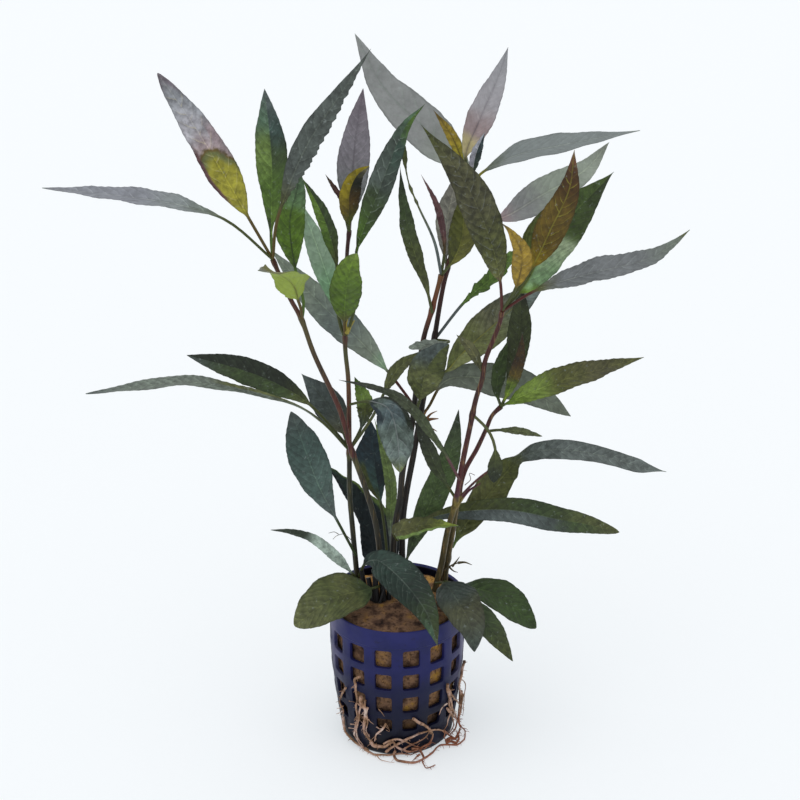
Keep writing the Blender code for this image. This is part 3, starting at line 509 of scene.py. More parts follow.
def stem_finish(name, stops, highlight_tone):
    """Stem bark: a colour up the stem, finely streaked along it with a lighter tone, a painted
    highlight, and with darker streaks.
    """
    skin = Finish(name, 0.42, 0.3)
    up = skin.add("ShaderNodeMapRange", {"Value": skin.axes(skin.place)["Z"],
                                         "From Min": 55 * MM, "From Max": 210 * MM})
    up = skin.times(skin.noise(240, 2), 0.04, skin.math("SUBTRACT", up, 0.02))
    drawn = skin.add("ShaderNodeMapping", {"Vector": skin.place, "Scale": (1.0, 1.0, 0.08)})
    # Painted highlight: fine lighter streaks along the stem stand for the light caught on its ribs
    # and edges.
    streak = skin.between(skin.noise(1700, 3, drawn), 0.5, 0.7, 0.0, 0.5)
    base = skin.blend(streak, skin.ramp(up, stops), highlight_tone)
    dark = skin.between(skin.noise(1300, 3, drawn), 0.52, 0.7, 0.0, 0.65)
    skin.colour(skin.blend(dark, base, (22, 18, 16)))
    skin.bump(skin.noise(2600, 3, drawn), 0.35, 0.2 * MM)
    return skin.material


def stem(node, points, joints, finish, foot, tip):
    """One stem, from its radius at the foot to that at the tip, swollen at its joints' heights."""
    centres, _ = route(numbers(points), STEM_RINGS)
    radii = []
    for i, at in enumerate(centres):
        radius = foot + (tip - foot) * i / (STEM_RINGS - 1)
        for joint in joints:
            radius *= 1 + JOINT_SWELLING * math.exp(-(((at.z / MM - joint) / JOINT_REACH) ** 2))
        radii.append(radius * MM * (1 + 0.04 * noise.noise(at * 300)))
    hand_over(tubes(node + "_bark", [(centres, radii)], 16, finish), node)


leaning_bark = stem_finish("leaning_bark", [
    (0, (32, 31, 24)), (0.3, (46, 44, 30)), (0.345, (70, 72, 44)), (0.365, (74, 32, 32)),
    (0.48, (80, 36, 29)), (0.6, (66, 50, 34)), (0.71, (76, 70, 40)), (0.74, (78, 46, 36)),
    (0.86, (64, 30, 28))], (112, 92, 54))
upright_bark = stem_finish("upright_bark", [
    (0, (32, 31, 24)), (0.32, (42, 46, 30)), (0.345, (84, 86, 50)), (0.365, (88, 36, 36)),
    (0.5, (90, 56, 38)), (0.6, (72, 74, 42)), (0.64, (78, 40, 40)),
    (0.9, (58, 28, 34))], (104, 96, 56))
front_bark = stem_finish("front_bark", [
    (0, (24, 23, 20)), (0.5, (28, 26, 20)), (0.66, (56, 32, 24)), (0.72, (100, 52, 32)),
    (0.8, (104, 68, 34))], (84, 66, 34))
rear_bark = stem_finish("rear_bark", [
    (0, (24, 23, 20)), (0.55, (25, 21, 18)), (0.64, (32, 18, 16)), (0.8, (62, 26, 22)),
    (1, (82, 60, 32))], (72, 50, 32))
right_bark = stem_finish("right_bark", [
    (0, (66, 60, 40)), (0.2, (82, 74, 46)), (0.245, (118, 106, 54)), (0.262, (72, 34, 52)),
    (0.31, (74, 32, 34)), (0.5, (60, 26, 22)), (0.75, (66, 28, 26))], (146, 116, 70))

stem("stem_left_leaning",
     "-5 2 51, -7 3 79, -11 3 97, -16 3 113, -20 1 130, -28 -3 152, -32 -5 166, -36 -6 175, "
     "-41 -8 189", (112, 166, 188), leaning_bark, 1.15, 0.72)
stem("stem_left_upright",
     "-14 6 51, -16 7 78, -17 8 93, -17 9 109, -17 9 136, -18 8 153, -17 7 183, -16 6 194",
     (109, 154, 193), upright_bark, 1.05, 0.66)
stem("stem_centre_front",
     "-2 4 51, -1 4 79, 1 4 93, 2 4 105, 5 4 121, 7 4 140, 9 4 155, 12 5 166, 15 6 178", (166, 178),
     front_bark, 1.3, 0.8)
stem("stem_centre_rear",
     "2 8 51, 2 9 82, 6 10 109, 8 10 122, 11 11 140, 13 11 153, 15 11 167, 17 12 177, 21 14 193, "
     "26 16 207", (123, 153, 178, 206), rear_bark, 1.3, 0.68)
stem("stem_right_main",
     "13 6 51, 16 6 65, 18 5 79, 21 2 94, 23 0 110, 25 -2 123, 27 -4 136, 29 -5 144, 30 -6 152, "
     "34 -8 165, 35 -9 171", (94, 130, 170), right_bark, 1.2, 0.75)
stem("stem_right_branch",
     "17 9 51, 18 9 63, 20 8 77, 22 6 94, 24 5 104, 28 4 113, 31 3 121, 33 2 127, 36 1 131",
     (66, 94, 131), right_bark, 1.15, 0.7)


# The leaves: thin, soft blades, folded a little along a pale midrib, with side veins that sweep up
# to a finely toothed margin. A leaf shades from a green or golden foot to a grey or purple tip. Its
# grey, silver, lavender, slate and navy tones are in part a painted sheen, the bright room
# reflected on the glossy blade, and its black and ink tones in part painted shade in folds and
# behind stems and leaves.
TONES = dict(
    red_stem=(76, 36, 32), lavender=(128, 131, 138), pale_lavender=(148, 147, 155),
    dusky_lavender=(110, 108, 115), plum=(92, 86, 94), mauve=(140, 126, 130), cream=(176, 166, 128),
    pale_grey=(124, 131, 131), steel=(108, 112, 114), slate=(82, 91, 90), deep_slate=(64, 73, 70),
    blue_slate=(70, 82, 88), navy=(38, 49, 55), ink=(27, 36, 39), teal=(54, 71, 66),
    dark_teal=(40, 55, 49), petrol=(70, 88, 82), sage=(102, 111, 102), silver=(132, 146, 134),
    mint=(108, 136, 112), sea_green=(78, 102, 82), lime=(128, 148, 62), bright=(90, 116, 46),
    green=(74, 99, 40), grass=(100, 122, 62), deep_green=(54, 68, 40), black_green=(37, 44, 34),
    black=(20, 22, 20), moss=(66, 73, 38), olive=(78, 83, 49), khaki=(92, 97, 60),
    drab=(74, 75, 57), yellow=(134, 130, 46), gold=(120, 105, 38), orange=(146, 122, 52),
    bronze=(84, 71, 36), red_brown=(60, 44, 28), burgundy=(92, 64, 66),
)
ROUTE_POINTS = 400
STALK_PARTS = 6
BLADE_PARTS = 58
LEAF_SLICES = 12
STALK_HALF = 0.52
BLADE_THICK = 0.26
BLADE_OPENS_BY = 0.1
TEETH_FROM = 0.08
FOLD = math.tan(math.radians(12))
FOLD_ROUND = 0.4
KEEL_DEPTH = 0.4
KEEL_HALF = 0.55
EDGE_WANDER = 0.05
AHEAD = 6
SHAPE_WORDS = ("tip_face", "cup", "teeth", "wave", "edge")


def stops(text, gain):
    """Ramp stops from "olive, sage 10, slate": tones, with places in percent or evenly spread."""
    words = [word.split() for word in text.split(",")]
    found = []
    for i, (name, *place) in enumerate(words):
        place = float(place[0]) / 100 if place else i / (len(words) - 1)
        found.append((place, tuple(min(1, c * g) for c, g in zip(tone(TONES[name]), (*gain, 1)))))
    return found


def leaf_finish(name, upper, right="", gain=(1, 1, 1), under="silver", rib="", ribs=0.7, vein="",
                veins=0.55, stalk="moss", skew=0.0, bow=0.0, spacing=3.4, mottle=0.32, strips=()):
    """Leaf skin on the blade's own maps: tones along it, panels between arched veins with painted
    light and shade across each, blotches partly of painted light, and painted glints.

    upper and right are the tones from base to tip, right those of the right half if it differs.
    """
    skin = Finish(name + "_skin", 0.5, 0.25)
    u, v, _ = skin.axes(skin.add("ShaderNodeUVMap", settings={"uv_map": "blade"}))
    x, y, _ = skin.axes(skin.add("ShaderNodeUVMap", settings={"uv_map": "real"}))
    below = skin.math("GREATER_THAN", u, 1.5)
    across = skin.times(skin.times(below, -2.0, u), 2.0, -1.0)
    wide = skin.math("ABSOLUTE", across)
    off = skin.math("ABSOLUTE", x)
    drift = skin.times(skin.noise(260), 0.14, -0.07)
    along = skin.times(across, skew, skin.math("ADD", v, drift))
    along = skin.times(skin.times(wide, wide), bow, along)
    base = skin.ramp(along, stops(upper, gain))
    if right:
        right_half = skin.between(across, -0.06, 0.06)
        base = skin.blend(right_half, base, skin.ramp(along, stops(right, gain)))
    for side, first, last, inner, colour in strips:
        reach = skin.between(skin.times(across, side, drift), inner - 0.08, inner + 0.08)
        reach = skin.times(reach, skin.between(v, first - 0.06, first + 0.06))
        reach = skin.times(reach, skin.between(v, last - 0.06, last + 0.06, 1.0, 0.0))
        base = skin.blend(reach, base, TONES[colour])
    rise = skin.times(skin.times(off, off), -0.16, skin.times(off, -0.7, y))
    shift = skin.times(skin.math("GREATER_THAN", across, 0.0), 0.45)
    phase = skin.times(drift, 4.0, skin.times(rise, 1.0 / spacing, shift))
    panel = skin.math("FRACT", phase)
    patchy = skin.patches(300, 0.38, 0.62, 0.1, 1.0, detail=2)
    fade = skin.between(wide, 0.55, 0.95, 1.0, 0.1)
    line = skin.times(skin.times(skin.between(panel, 0.0, 0.16, 1.0, 0.0), fade), patchy)
    groove_shade = skin.times(skin.between(panel, 0.8, 1.0), patchy)
    deep, soft = 0.3 * mottle, 0.45 * mottle
    # Painted shade and light of the quilted relief: darker in the groove before each vein, and
    # lighter to darker across each panel.
    base = skin.shade(base, skin.between(groove_shade, 0.0, 1.0, 1.0, 1 - deep))
    base = skin.shade(base, skin.between(panel, 0.0, 1.0, 1 + deep, 1 - deep))
    # Blotches, partly the blade's own mottling and partly painted light and shade of its quilted
    # surface, then broad patches of painted sheen and shade.
    blotch = skin.noise(520, 4, roughness=0.68)
    base = skin.shade(base, skin.between(blotch, 0.28, 0.72, 1 - mottle, 1 + mottle))
    base = skin.shade(base, skin.patches(130, 0.3, 0.7, 1 - soft, 1 + soft, detail=2))
    line = skin.times(line, veins)
    if vein:
        base = skin.blend(line, base, TONES[vein])
    else:
        base = skin.blend(line, base, (1.75, 1.8, 1.7, 1.0), "MULTIPLY")
    # Painted glints: small pale blue-grey flecks of reflected light.
    painted_glint = skin.between(skin.noise(760, roughness=0.6), 0.6, 0.72, 0.0, 0.34)
    base = skin.blend(skin.times(painted_glint, patchy), base, (150, 160, 158))
    base = skin.shade(base, skin.between(wide, 0.86, 1.0, 1.0, 0.72))
    base = skin.blend(below, base, skin.blend(0.6, base, TONES[under]))
    near = skin.between(off, 0.08, 0.34, 1.0, 0.0)
    middle = skin.times(near, skin.patches(200, 0.3, 0.6, 0.35, 1.0, detail=2))
    # Painted shade in the groove beside the midrib, strongest towards the foot.
    beside = skin.between(off, 0.3, 0.9, 1.0, 0.0)
    beside = skin.times(beside, skin.between(v, 0.0, 1.0, 0.35, 0.1))
    base = skin.blend(beside, base, skin.shade(base, (0.55, 0.55, 0.55, 1.0)))
    middle = skin.times(middle, skin.between(v, 0.0, 1.0, ribs, ribs * 0.4))
    pale = TONES[rib] if rib else skin.shade(base, (1.9, 1.9, 1.7, 1.0))
    on_blade = skin.between(v, -0.03, 0.05)
    skin.colour(skin.blend(on_blade, TONES[stalk], skin.blend(middle, base, pale)))
    skin.rough(skin.between(blotch, 0.3, 0.7, 0.36, 0.6))
    hump = skin.between(skin.math("PINGPONG", phase, 0.5), 0.0, 0.5)
    quilt = skin.times(hump, 0.8, skin.times(skin.noise(1500, 4), 0.3))
    quilt = skin.times(near, -0.5, skin.times(blotch, 0.9, quilt))
    skin.bump(skin.times(quilt, on_blade), 0.55, 0.3 * MM)
    return skin.material


def blade_share(s, outline):
    """The blade's width at a place along it, as a share of its greatest width.

    An outline is (place of the belly, roundness below it, roundness above it), or a text of places
    and shares.
    """
    if s <= 0:
        return 0.0
    if isinstance(outline, str):
        knots = numbers(outline)
        for (s0, share0), (s1, share1) in zip(knots, knots[1:]):
            if s0 <= s <= s1:
                t = (s - s0) / (s1 - s0)
                share = share0 + (share1 - share0) * t * t * (3 - 2 * t)
        return share
    belly, base, tip = outline
    if s < belly:
        return math.sin(math.pi / 2 * s / belly) ** base
    return math.cos(math.pi / 2 * (s - belly) / (1 - belly)) ** tip


def leaf_mesh(name, points, width, face, petiole, outline, tip_face=None, cup=0.0,
              teeth=(2.6, 0.18), wave=(4, 0.25), edge=""):
    """A closed leaf: an oval stalk that opens into a thin blade. Sizes in millimetres.

    face is where the upper side looks, teeth are (pitch, depth) or (pitch, left, right), wave is
    (count, height), and edge has places along the blade with a factor for each half there.
    """
    line, length = route(numbers(points), ROUTE_POINTS)
    length /= MM
    petiole = min(petiole, length - 4)
    blade = length - petiole
    distances = [petiole * i / STALK_PARTS for i in range(STALK_PARTS)]
    distances += [petiole + blade * i / BLADE_PARTS for i in range(BLADE_PARTS)]
    distances.append(length - blade * 0.25 / BLADE_PARTS)
    starts = Vector(face).normalized()
    ends = Vector(tip_face or face).normalized()
    places = [-math.cos(math.pi * k / LEAF_SLICES) for k in range(LEAF_SLICES + 1)]
    places += places[-2:0:-1]
    edge = numbers(edge)
    seed = sum(ord(c) for c in name)
    count, height = wave
    shape = bmesh.new()
    blade_map, real_map = (shape.loops.layers.uv.new(word) for word in ("blade", "real"))
    rings, spots = [], {}
    for far in distances:
        i = round(far / length * (ROUTE_POINTS - 1))
        at = line[min(ROUTE_POINTS - 1, i)]
        i = min(ROUTE_POINTS - 2, max(1, i))
        ahead = (line[min(ROUTE_POINTS - 1, i + AHEAD)] - line[max(0, i - AHEAD)]).normalized()
        look = starts.lerp(ends, far / length)
        up = (look - ahead * look.dot(ahead)).normalized()
        side = ahead.cross(up)
        s = (far - petiole) / blade
        share = blade_share(s, outline)
        halves = []
        for which in (0, 1):
            half = width / 2 * share
            for (s0, *m0), (s1, *m1) in zip(edge, edge[1:]):
                if s0 <= s < s1:
                    half *= m0[which] + (m1[which] - m0[which]) * (s - s0) / (s1 - s0)
            half *= 1 + EDGE_WANDER * noise.noise(Vector((far * 0.22, seed + 9 * which, 0.5)))
            bite = (far / teeth[0] + 0.37 * which + seed * 0.1) % 1.0
            rough = 0.5 + 0.5 * noise.noise(Vector((far * 0.3, seed, 4.5 + which)))
            depth = (teeth[-1] if which else teeth[1]) * (s > TEETH_FROM)
            half -= depth * (1 - bite) * (0.6 + 0.8 * rough) * min(1.0, share * 1.6)
            halves.append(max(STALK_HALF * (1 - 0.9 * max(0.0, s)), half))
        opened = min(1.0, max(0.0, s / BLADE_OPENS_BY))
        opened = opened * opened * (3 - 2 * opened)
        ring = []
        for k, a in enumerate(places):
            half = halves[a >= 0]
            out = a * half
            valley = FOLD * (math.hypot(out, FOLD_ROUND) - FOLD_ROUND) + cup * half * a * a
            rim = FOLD * half + cup * half
            turn = math.tau * count * s + seed + (1.9 if a > 0 else 0.0)
            ripple = height * a * a * math.sin(turn) * min(1.0, share * 1.3)
            rise = (valley - rim * 0.4 + ripple) * opened
            inner = opened * (abs(a) < 0.999)
            thick = STALK_HALF * 0.85 * math.sqrt(max(0.0, 1 - a * a)) * (1 - opened)
            thick += BLADE_THICK / 2 * (1 - 0.5 * a * a) * inner
            keel = KEEL_DEPTH * math.exp(-((out / KEEL_HALF) ** 2)) * inner
            keel *= 1 - 0.8 * max(0.0, s)
            lift = rise + thick if k <= LEAF_SLICES else rise - thick - keel
            ring.append(shape.verts.new(at + side * out * MM + up * lift * MM))
            spots[ring[-1]] = (a, out, s, far - petiole)
        rings.append(ring)
    end = shape.verts.new(line[-1])
    spots[end] = (0.0, 0.0, 1.0, blade)
    faces = join_rings(shape, rings)
    last, total = rings[-1], len(places)
    faces += [shape.faces.new((last[k], last[(k + 1) % total], end)) for k in range(total)]
    for i, part in enumerate(faces):
        lower = 2 if i % total >= LEAF_SLICES else 0
        for loop in part.loops:
            a, out, s, far = spots[loop.vert]
            loop[blade_map].uv = ((a + 1) / 2 + lower, s)
            loop[real_map].uv = (out, far)
    foot = shape.faces.new(rings[0][::-1])
    for loop in foot.loops:
        loop[blade_map].uv = (0.5, -1.0)
    bmesh.ops.recalc_face_normals(shape, faces=shape.faces)
    return mesh_from(shape, name)


def leaf(name, points, width, face, petiole, outline, upper, slot="stem", **words):
    """One leaf, from the centre of its stem to its tip. With a slot other than "stem" it hides the
    solid of its own name; by default it hides none. words are for leaf_mesh (SHAPE_WORDS) or for
    leaf_finish.
    """
    bends = {word: words.pop(word) for word in SHAPE_WORDS if word in words}
    mesh = leaf_mesh(name, points, width, face, petiole, outline, **bends)
    piece = placed(name + "_blade", mesh, leaf_finish(name, upper, **words), 60)
    hand_over(piece, None if slot == "stem" else name)


# Leaves of the leaning stem at the far left: a rosette at its tip and a pair below it.
leaf("leaf_far_left",
     "-41 -8 189, -55 -10 203, -70.5 -9 208.5, -90 -7 211, -116 -4 212.5", 11.5, (0, -0.15, 1),
     21.5, (0.4, 1.1, 1), "olive, sage 10, pale_grey 25, lavender 50, lavender 95, sage",
     "lavender", teeth=(2.6, 0.5), mottle=0.17, spacing=4.6)
# Painted sheen: the mauve, lavender and plum tones of its bent outer part stand for the room
# reflected on the yellow-green blade.
leaf("leaf_lavender_left",
     "-41 -8 189, -49 -5 203, -59 1 219.5, -67 5 232, -78 10 247", 11, (0.35, -1, 0.35), 16.5,
     (0.34, 0.8, 0.65),
     "yellow, yellow 36, khaki 42, bronze 45, mauve 49, pale_lavender 62, lavender 85, plum",
     "lavender", bow=0.1, skew=0.04, stalk="bronze", vein="cream", veins=0.45, spacing=5.5,
     edge="0 1 1, 0.25 1.08 1.08, 0.45 1 1, 1 1 1",
     strips=[(-1, 0.12, 0.5, 0.78, "burgundy"), (1, 0.42, 0.6, 0.5, "mauve")],
     gain=(1.12, 1.12, 1.08))
leaf("leaf_green_upright",
     "-41 -8 189, -41.5 -5 197.5, -41 0 220.5, -43 6 243", 10.5, (0.1, -1, 0.2), 6.5,
     (0.58, 1.3, 1), "deep_green, green 30, grass 60, sea_green 80, slate", "dark_green",
     right="bright, green 35, deep_green 55, teal 72, slate", stalk="green")
leaf("leaf_dark_serrated",
     "-41 -8 189, -38.5 -11 205.5, -29 -12.5 229, -17 -12 247.5, -8 -10 260.5", 8.5, (0.2, -1, 0.6),
     19, (0.4, 1, 1.3), "olive, slate 25, slate 60, slate", "slate", teeth=(2.8, 0.1, 0.9),
     stalk="bronze", veins=0.45, spacing=5, gain=(0.82, 0.79, 0.73))
leaf("leaf_green_midrib",
     "-32 -5 166, -31.5 -2 172, -34 -2 183.5, -35.5 -1 199, -33 1 210, -32 3 216.5", 10,
     (0.1, -1, 0.2), 18.5, (0.46, 0.9, 0.9), "deep_green, green 20, green 55, sea_green 70, petrol",
     "mid_green", rib="black_green", ribs=0.9, stalk="green", gain=(1.18, 1.2, 0.83))
leaf("leaf_lime_cupped",
     "-32 -5 166, -32 -8 171, -33 -12 177, -34.5 -18 185.5, -39 -25 191.5, -44.5 -28 193", 12,
     (-0.3, -0.2, 1), 12.5, "0 0.1, 0.12 0.6, 0.35 1, 0.6 0.95, 0.8 0.8, 0.93 0.4, 1 0",
     "lime, lime 60, khaki 85, sage", "lime", rib="bronze", stalk="bronze", veins=0.2, under="lime",
     mottle=0.14, gain=(1.61, 1.43, 1.58))

# Leaves of the upright stem beside it.
leaf("leaf_green_slim",
     "-18 8 154, -20 6 161.5, -20.5 4 175, -20.5 4 183.5, -23.5 3 197, -27 2 206, -31 2 213.5", 5.5,
     (0.3, -1, 0.3), 28, (0.45, 0.9, 1), "olive, green 30, bright 70, green", "mid_green",
     right="moss, deep_green, deep_green", wave=(3, 0.7))
# Its pale mint and silver are partly a painted sheen, the room reflected on the blade.
leaf("leaf_mint_back",
     "-18 8 153, -22.5 11 170.5, -26 13 181.5, -30 14 193.5, -32 15 200", 8.5, (0.2, -1, 0.2), 9.5,
     (0.5, 1, 1), "green, mint 25, silver 55, silver", "mint", stalk="green", veins=0.3,
     mottle=0.18, spacing=5.5, gain=(1.36, 1.52, 1.32))
leaf("leaf_green_ovate",
     "-18 8 154, -18 3 164.5, -17 -5 177.5, -15.5 -9 186.5, -13 -12 192.5", 11, (0, -1, 0.6), 8.5,
     (0.5, 0.65, 0.6), "olive, green 20, green 60, bright 82, grass", "mid_green", stalk="bronze",
     veins=0.4, gain=(1.05, 1.02, 0.67))
# Its steel and lavender tones are a painted sheen, the room reflected on the blade.
leaf("leaf_lavender_upright",
     "-16 6 193, -15.5 7 200, -14.5 9 216, -13 10 229.5, -11 10 242", 11, (0.1, -1, 0.1), 4,
     (0.42, 1, 1), "plum, steel 25, dusky_lavender 50, plum", "lavender", rib="plum",
     stalk="burgundy", veins=0.35, mottle=0.2, gain=(1.46, 1.41, 1.39))
leaf("leaf_blue_green",
     "-18 8 154, -15 4 164, -13 0 178.5, -13.5 -2 189.5, -7 -6 209.5, 2 -8 233, 9 -8 242", 8.5,
     (-0.2, -1, 0.3), 37.5, (0.47, 1, 1.2),
     "deep_green, green 15, deep_green 36, slate, deep_slate 72, sea_green 90, deep_green",
     "dark_green", right="green, deep_green 30, deep_slate 48, teal 70, green 90, deep_green",
     vein="silver", veins=0.5, spacing=4.6, gain=(0.86, 0.9, 0.79))
# The black in its right half is painted shade inside its trough-like fold.
leaf("young_gold_left",
     "-16 6 193, -16 3 200.5, -15.5 1 209.5, -13 0 215.5, -9 -1 219", 7.5, (0.3, -1, 0.3), 3.5,
     (0.45, 0.9, 0.9), "moss, bronze 25, gold 60, gold", right="moss, red_brown 40, black 70, plum",
     veins=0.15, gain=(1.2, 1.25, 0.55))
leaf("young_red_left",
     "-16 6 193, -18.5 4 205.5, -21 3 210.5, -23.5 2 215", 2, (0.3, -1, 0.3), 11, (0.4, 0.9, 1),
     "burgundy, red_brown")
leaf("leaf_slate_left",
     "-15 6 69, -20.5 2 83.5, -28 -1 102, -34 -4 123.5, -36.5 -5 132", 13.8, (0, -1, 0.2), 19,
     (0.58, 1.1, 0.8), "slate, petrol 35, teal 70, deep_slate", "slate", wave=(5, 0.5), spacing=4.0,
     ribs=1, stalk="deep_green")
leaf("leaf_pale_left",
     "-14 6 58, -17.5 2.5 65, -21.5 0.5 71, -26 -1 76.6, -31 -2 81, -38 -3 83.8, -45 -3 84.5", 4.2,
     (0.3, -0.9, -0.3), 6.5, (0.3, 1, 0.8), "silver, silver 55, black_green 68, black_green",
     "mint", ribs=0.2, veins=0.1, gain=(1.5, 1.5, 1.55), tip_face=(0, -0.6, 0.8))
leaf("leaf_dark_left",
     "-17 9 111, -29 2 130, -38.5 0 138.5, -52 0 145, -72 0 151", 10, (0, -0.9, 0.7), 25,
     (0.48, 0.9, 0.9), "olive, deep_green 30, deep_green 65, deep_slate", "dark_green",
     right="moss, black_green 30, black_green")
leaf("leaf_far_left_low",
     "-17 9 110, -26.5 -2 127, -38.5 -6 136.5, -68.5 -10 145.5, -88.5 -12 144.5, -105.5 -12 142", 8,
     (0, -0.1, 1), 25, (0.6, 1.2, 0.8), "olive, sage 30, sage 80, slate", "slate", teeth=(2.8, 0.5),
     strips=[(1, 0, 0.45, 0.3, "khaki")])
leaf("leaf_slate_back",
     "-17 9 109, -19.5 13 116, -25.5 18 125, -34 20 135", 11.5, (0.3, -1, 0.3), 7, (0.42, 0.8, 1.2),
     "drab, deep_slate 40, slate", "slate")
leaf("young_olive_left",
     "-17 9 110, -12.5 13 118, -11.5 14 126.5, -15 14 136.5", 6.5, (0, -1, 0.3), 8.5, (0.45, 1, 1),
     "deep_slate, moss 35, grass 60, green 85, deep_green", wave=(5, 0.7), teeth=(2, 0.4),
     gain=(1.1, 1.1, 1))
leaf("young_olive_stalked",
     "-17 9 110, -9 6 124, -4.5 6 134, 0.5 7 143, 8.5 8 149", 5, (-0.4, -1, 0.4), 26.5,
     (0.45, 1, 1), "olive, olive", stalk="olive")
# The ink at its foot and the black-green and navy strips along its edges are painted shade where
# the blade folds over.
leaf("leaf_slate_veined",
     "-17 9 128, -10 3 132, -3 -2 131.5, 0 -8 124, 1 -13 112.5", 12.5, (0, -0.6, 1), 11,
     (0.5, 0.6, 0.8), "ink, deep_slate 10, blue_slate 30, deep_slate 55, slate, olive", "slate",
     vein="pale_grey", veins=0.6, ribs=1, rib="pale_grey", cup=-0.25, spacing=4.6, mottle=0.45,
     strips=[(-1, 0, 0.55, 0.66, "black_green"), (1, 0, 0.4, 0.6, "navy")], gain=(1.51, 1.59, 1.49))
leaf("leaf_teal_front",
     "-14 6 60, -11.5 1 68.5, -7 -3 72, -1 -13 73, 6 -23 70, 11 -31 65.5, 14 -36 57", 14,
     (0.2, -1, 0.5), 9, (0.45, 0.8, 1), "ink, teal 10, petrol 30, dark_teal 55, deep_green, olive",
     "navy", right="teal, teal 30, dark_teal 60, deep_green 80, sea_green 92, khaki", vein="silver",
     veins=0.25, rib="silver", ribs=0.3, gain=(0.55, 0.6, 0.55), tip_face=(0.1, -0.6, 0.8))

# Leaves of the front one of the two stems in the middle.
leaf("leaf_wavy",
     "12 4 165, 9.5 3 176.5, 4.5 2 192, 2 1 206.5, 1 0 218.5", 5.5, (0.2, -1, 0.2), 4.5,
     (0.48, 1, 1.3), "olive, moss 30, deep_green 70, black_green", "dark_green", wave=(4, 1))
leaf("leaf_olive_centre",
     "15 6 178, 18.5 4 183.5, 21.5 2 192, 22 0 202.5, 21.5 -1 210", 9.5, (0, -1, 0.3), 5,
     (0.45, 0.9, 0.9), "moss, moss", "olive", right="khaki, olive, moss", gain=(1.18, 1.06, 0.55))
leaf("leaf_olive_ovate",
     "6 4 125, 8 1 134.5, 10 -4 147, 14 -7 155, 17.5 -8 158.5", 12.5, (0, -1, 0.3), 9,
     (0.48, 0.8, 0.7), "moss, olive 45, deep_slate 70, deep_slate", "olive",
     right="olive, khaki 35, moss 60, moss", mottle=0.4)
leaf("young_curled", "15 6 178, 12.5 5 190.5, 7 4 203.5, 3.5 4 213, 2 3 226", 2, (0, -1, 0.3), 9.5,
     "0 0.2, 0.4 0.2, 0.47 0.6, 0.52 0.25, 0.58 0.7, 0.64 0.25, 0.74 0.3, 0.85 1, 0.95 0.9, 1 0",
     "slate, olive 60, moss", stalk="slate")
leaf("young_burgundy",
     "15 6 178, 16 7 188.5, 13.5 7 202, 8 8 213", 2.5, (0, -1, 0.3), 7, (0.45, 0.8, 1.1),
     "bronze, burgundy 30, burgundy")
leaf("leaf_green_strip",
     "-2 6 62, -2.5 9 82, -2.5 9 98, -8 10 122", 4.5, (0.3, -1, 0.2), 10.5, (0.45, 0.8, 1.2),
     "sage, grass 30, grass 70, bright", "mid_green", veins=0.35, gain=(0.92, 0.87, 1.11))
leaf("leaf_olive_low",
     "0 3 77, -1 -2 82.5, 3 -6 86.5, 11.5 -8 89.5, 21.5 -8 89", 7.5, (-0.3, -1, 0.3), 5,
     (0.35, 0.8, 0.9), "olive, khaki 30, moss 60, lime", "olive", wave=(6, 0.5),
     strips=[(1, 0.1, 1, 0.62, "grass")], gain=(0.82, 0.77, 0.69), tip_face=(0, -0.2, 1))
leaf("leaf_olive_rim",
     "-6 1 59, -10 -6 62, -23 -14 63, -36.5 -18 54", 17.5, (-0.2, -0.8, 1), 8, (0.47, 0.55, 0.6),
     "deep_green, olive 30, moss, olive, khaki", "olive", veins=0.7)

# Leaves of the rear one.
leaf("leaf_lavender_back",
     "17 12 178, 16.5 14 185, 17.5 17 196, 20.5 19 210", 8.5, (0.2, -1, 0.2), 3, (0.5, 0.9, 1),
     "steel, pale_grey 40, steel", "lavender", gain=(1.24, 1.09, 0.92))
leaf("leaf_grey_broad",
     "26 16 206, 21 19 213.5, 10.5 22 223.5, -4.5 25 238, -14 26 256", 15, (0.3, -1, 0.4), 3,
     (0.36, 0.9, 1), "silver, pale_grey 40, pale_grey", "mint", vein="silver", veins=0.5, spacing=7,
     mottle=0.1, ribs=0.6, rib="silver", gain=(1.3, 1.2, 1.18))
leaf("leaf_pink_tall",
     "26 16 206, 23 17 216, 27.5 18 228.5, 33.5 18 243.5, 36.5 18 253.5", 9.5, (0, -1, 0.2), 10.5,
     (0.38, 0.8, 1.1), "cream, cream 12, mauve 25, pale_lavender 50, lavender", "lavender",
     veins=0.22, mottle=0.1, rib="plum", ribs=0.5, gain=(1.31, 1.28, 1.21))
leaf("leaf_grey_right",
     "26 16 206, 28.5 13 212, 40 10 219.5, 55.5 7 224, 79.5 4 229.5", 13, (0, -0.3, 1), 8,
     (0.36, 0.9, 1.35), "olive, sage 8, pale_grey 20, pale_grey", "slate", stalk="yellow",
     mottle=0.1, veins=0.25, gain=(0.9, 0.91, 0.89))
leaf("leaf_pale_right",
     "23 15 196, 35 19 193.5, 50 23 201, 63.5 25 208.5, 72 26 218.5", 11.5, (0, -1, 0.5), 12,
     (0.38, 0.8, 1), "mauve, pale_grey 20, silver, silver, sage", "mint", veins=0.25, mottle=0.1,
     gain=(1.44, 1.3, 1.31))
leaf("young_gold_top",
     "26 16 206, 21.5 13 217, 18 11 225.5, 12 10 234.5", 4, (0.2, -1, 0.2), 10.5, (0.42, 0.8, 1.2),
     "yellow, gold, bronze", stalk="yellow", rib="red_brown", gain=(1.41, 1.37, 1.08))
leaf("young_dark_top",
     "26 16 206, 25.5 14 212.5, 26.5 12 219.5, 29 11 226.5", 4, (0.2, -1, 0.2), 5, (0.45, 0.8, 1),
     "dusky_lavender, lavender", right="black_green, navy", gain=(1.7, 1.68, 1.7))
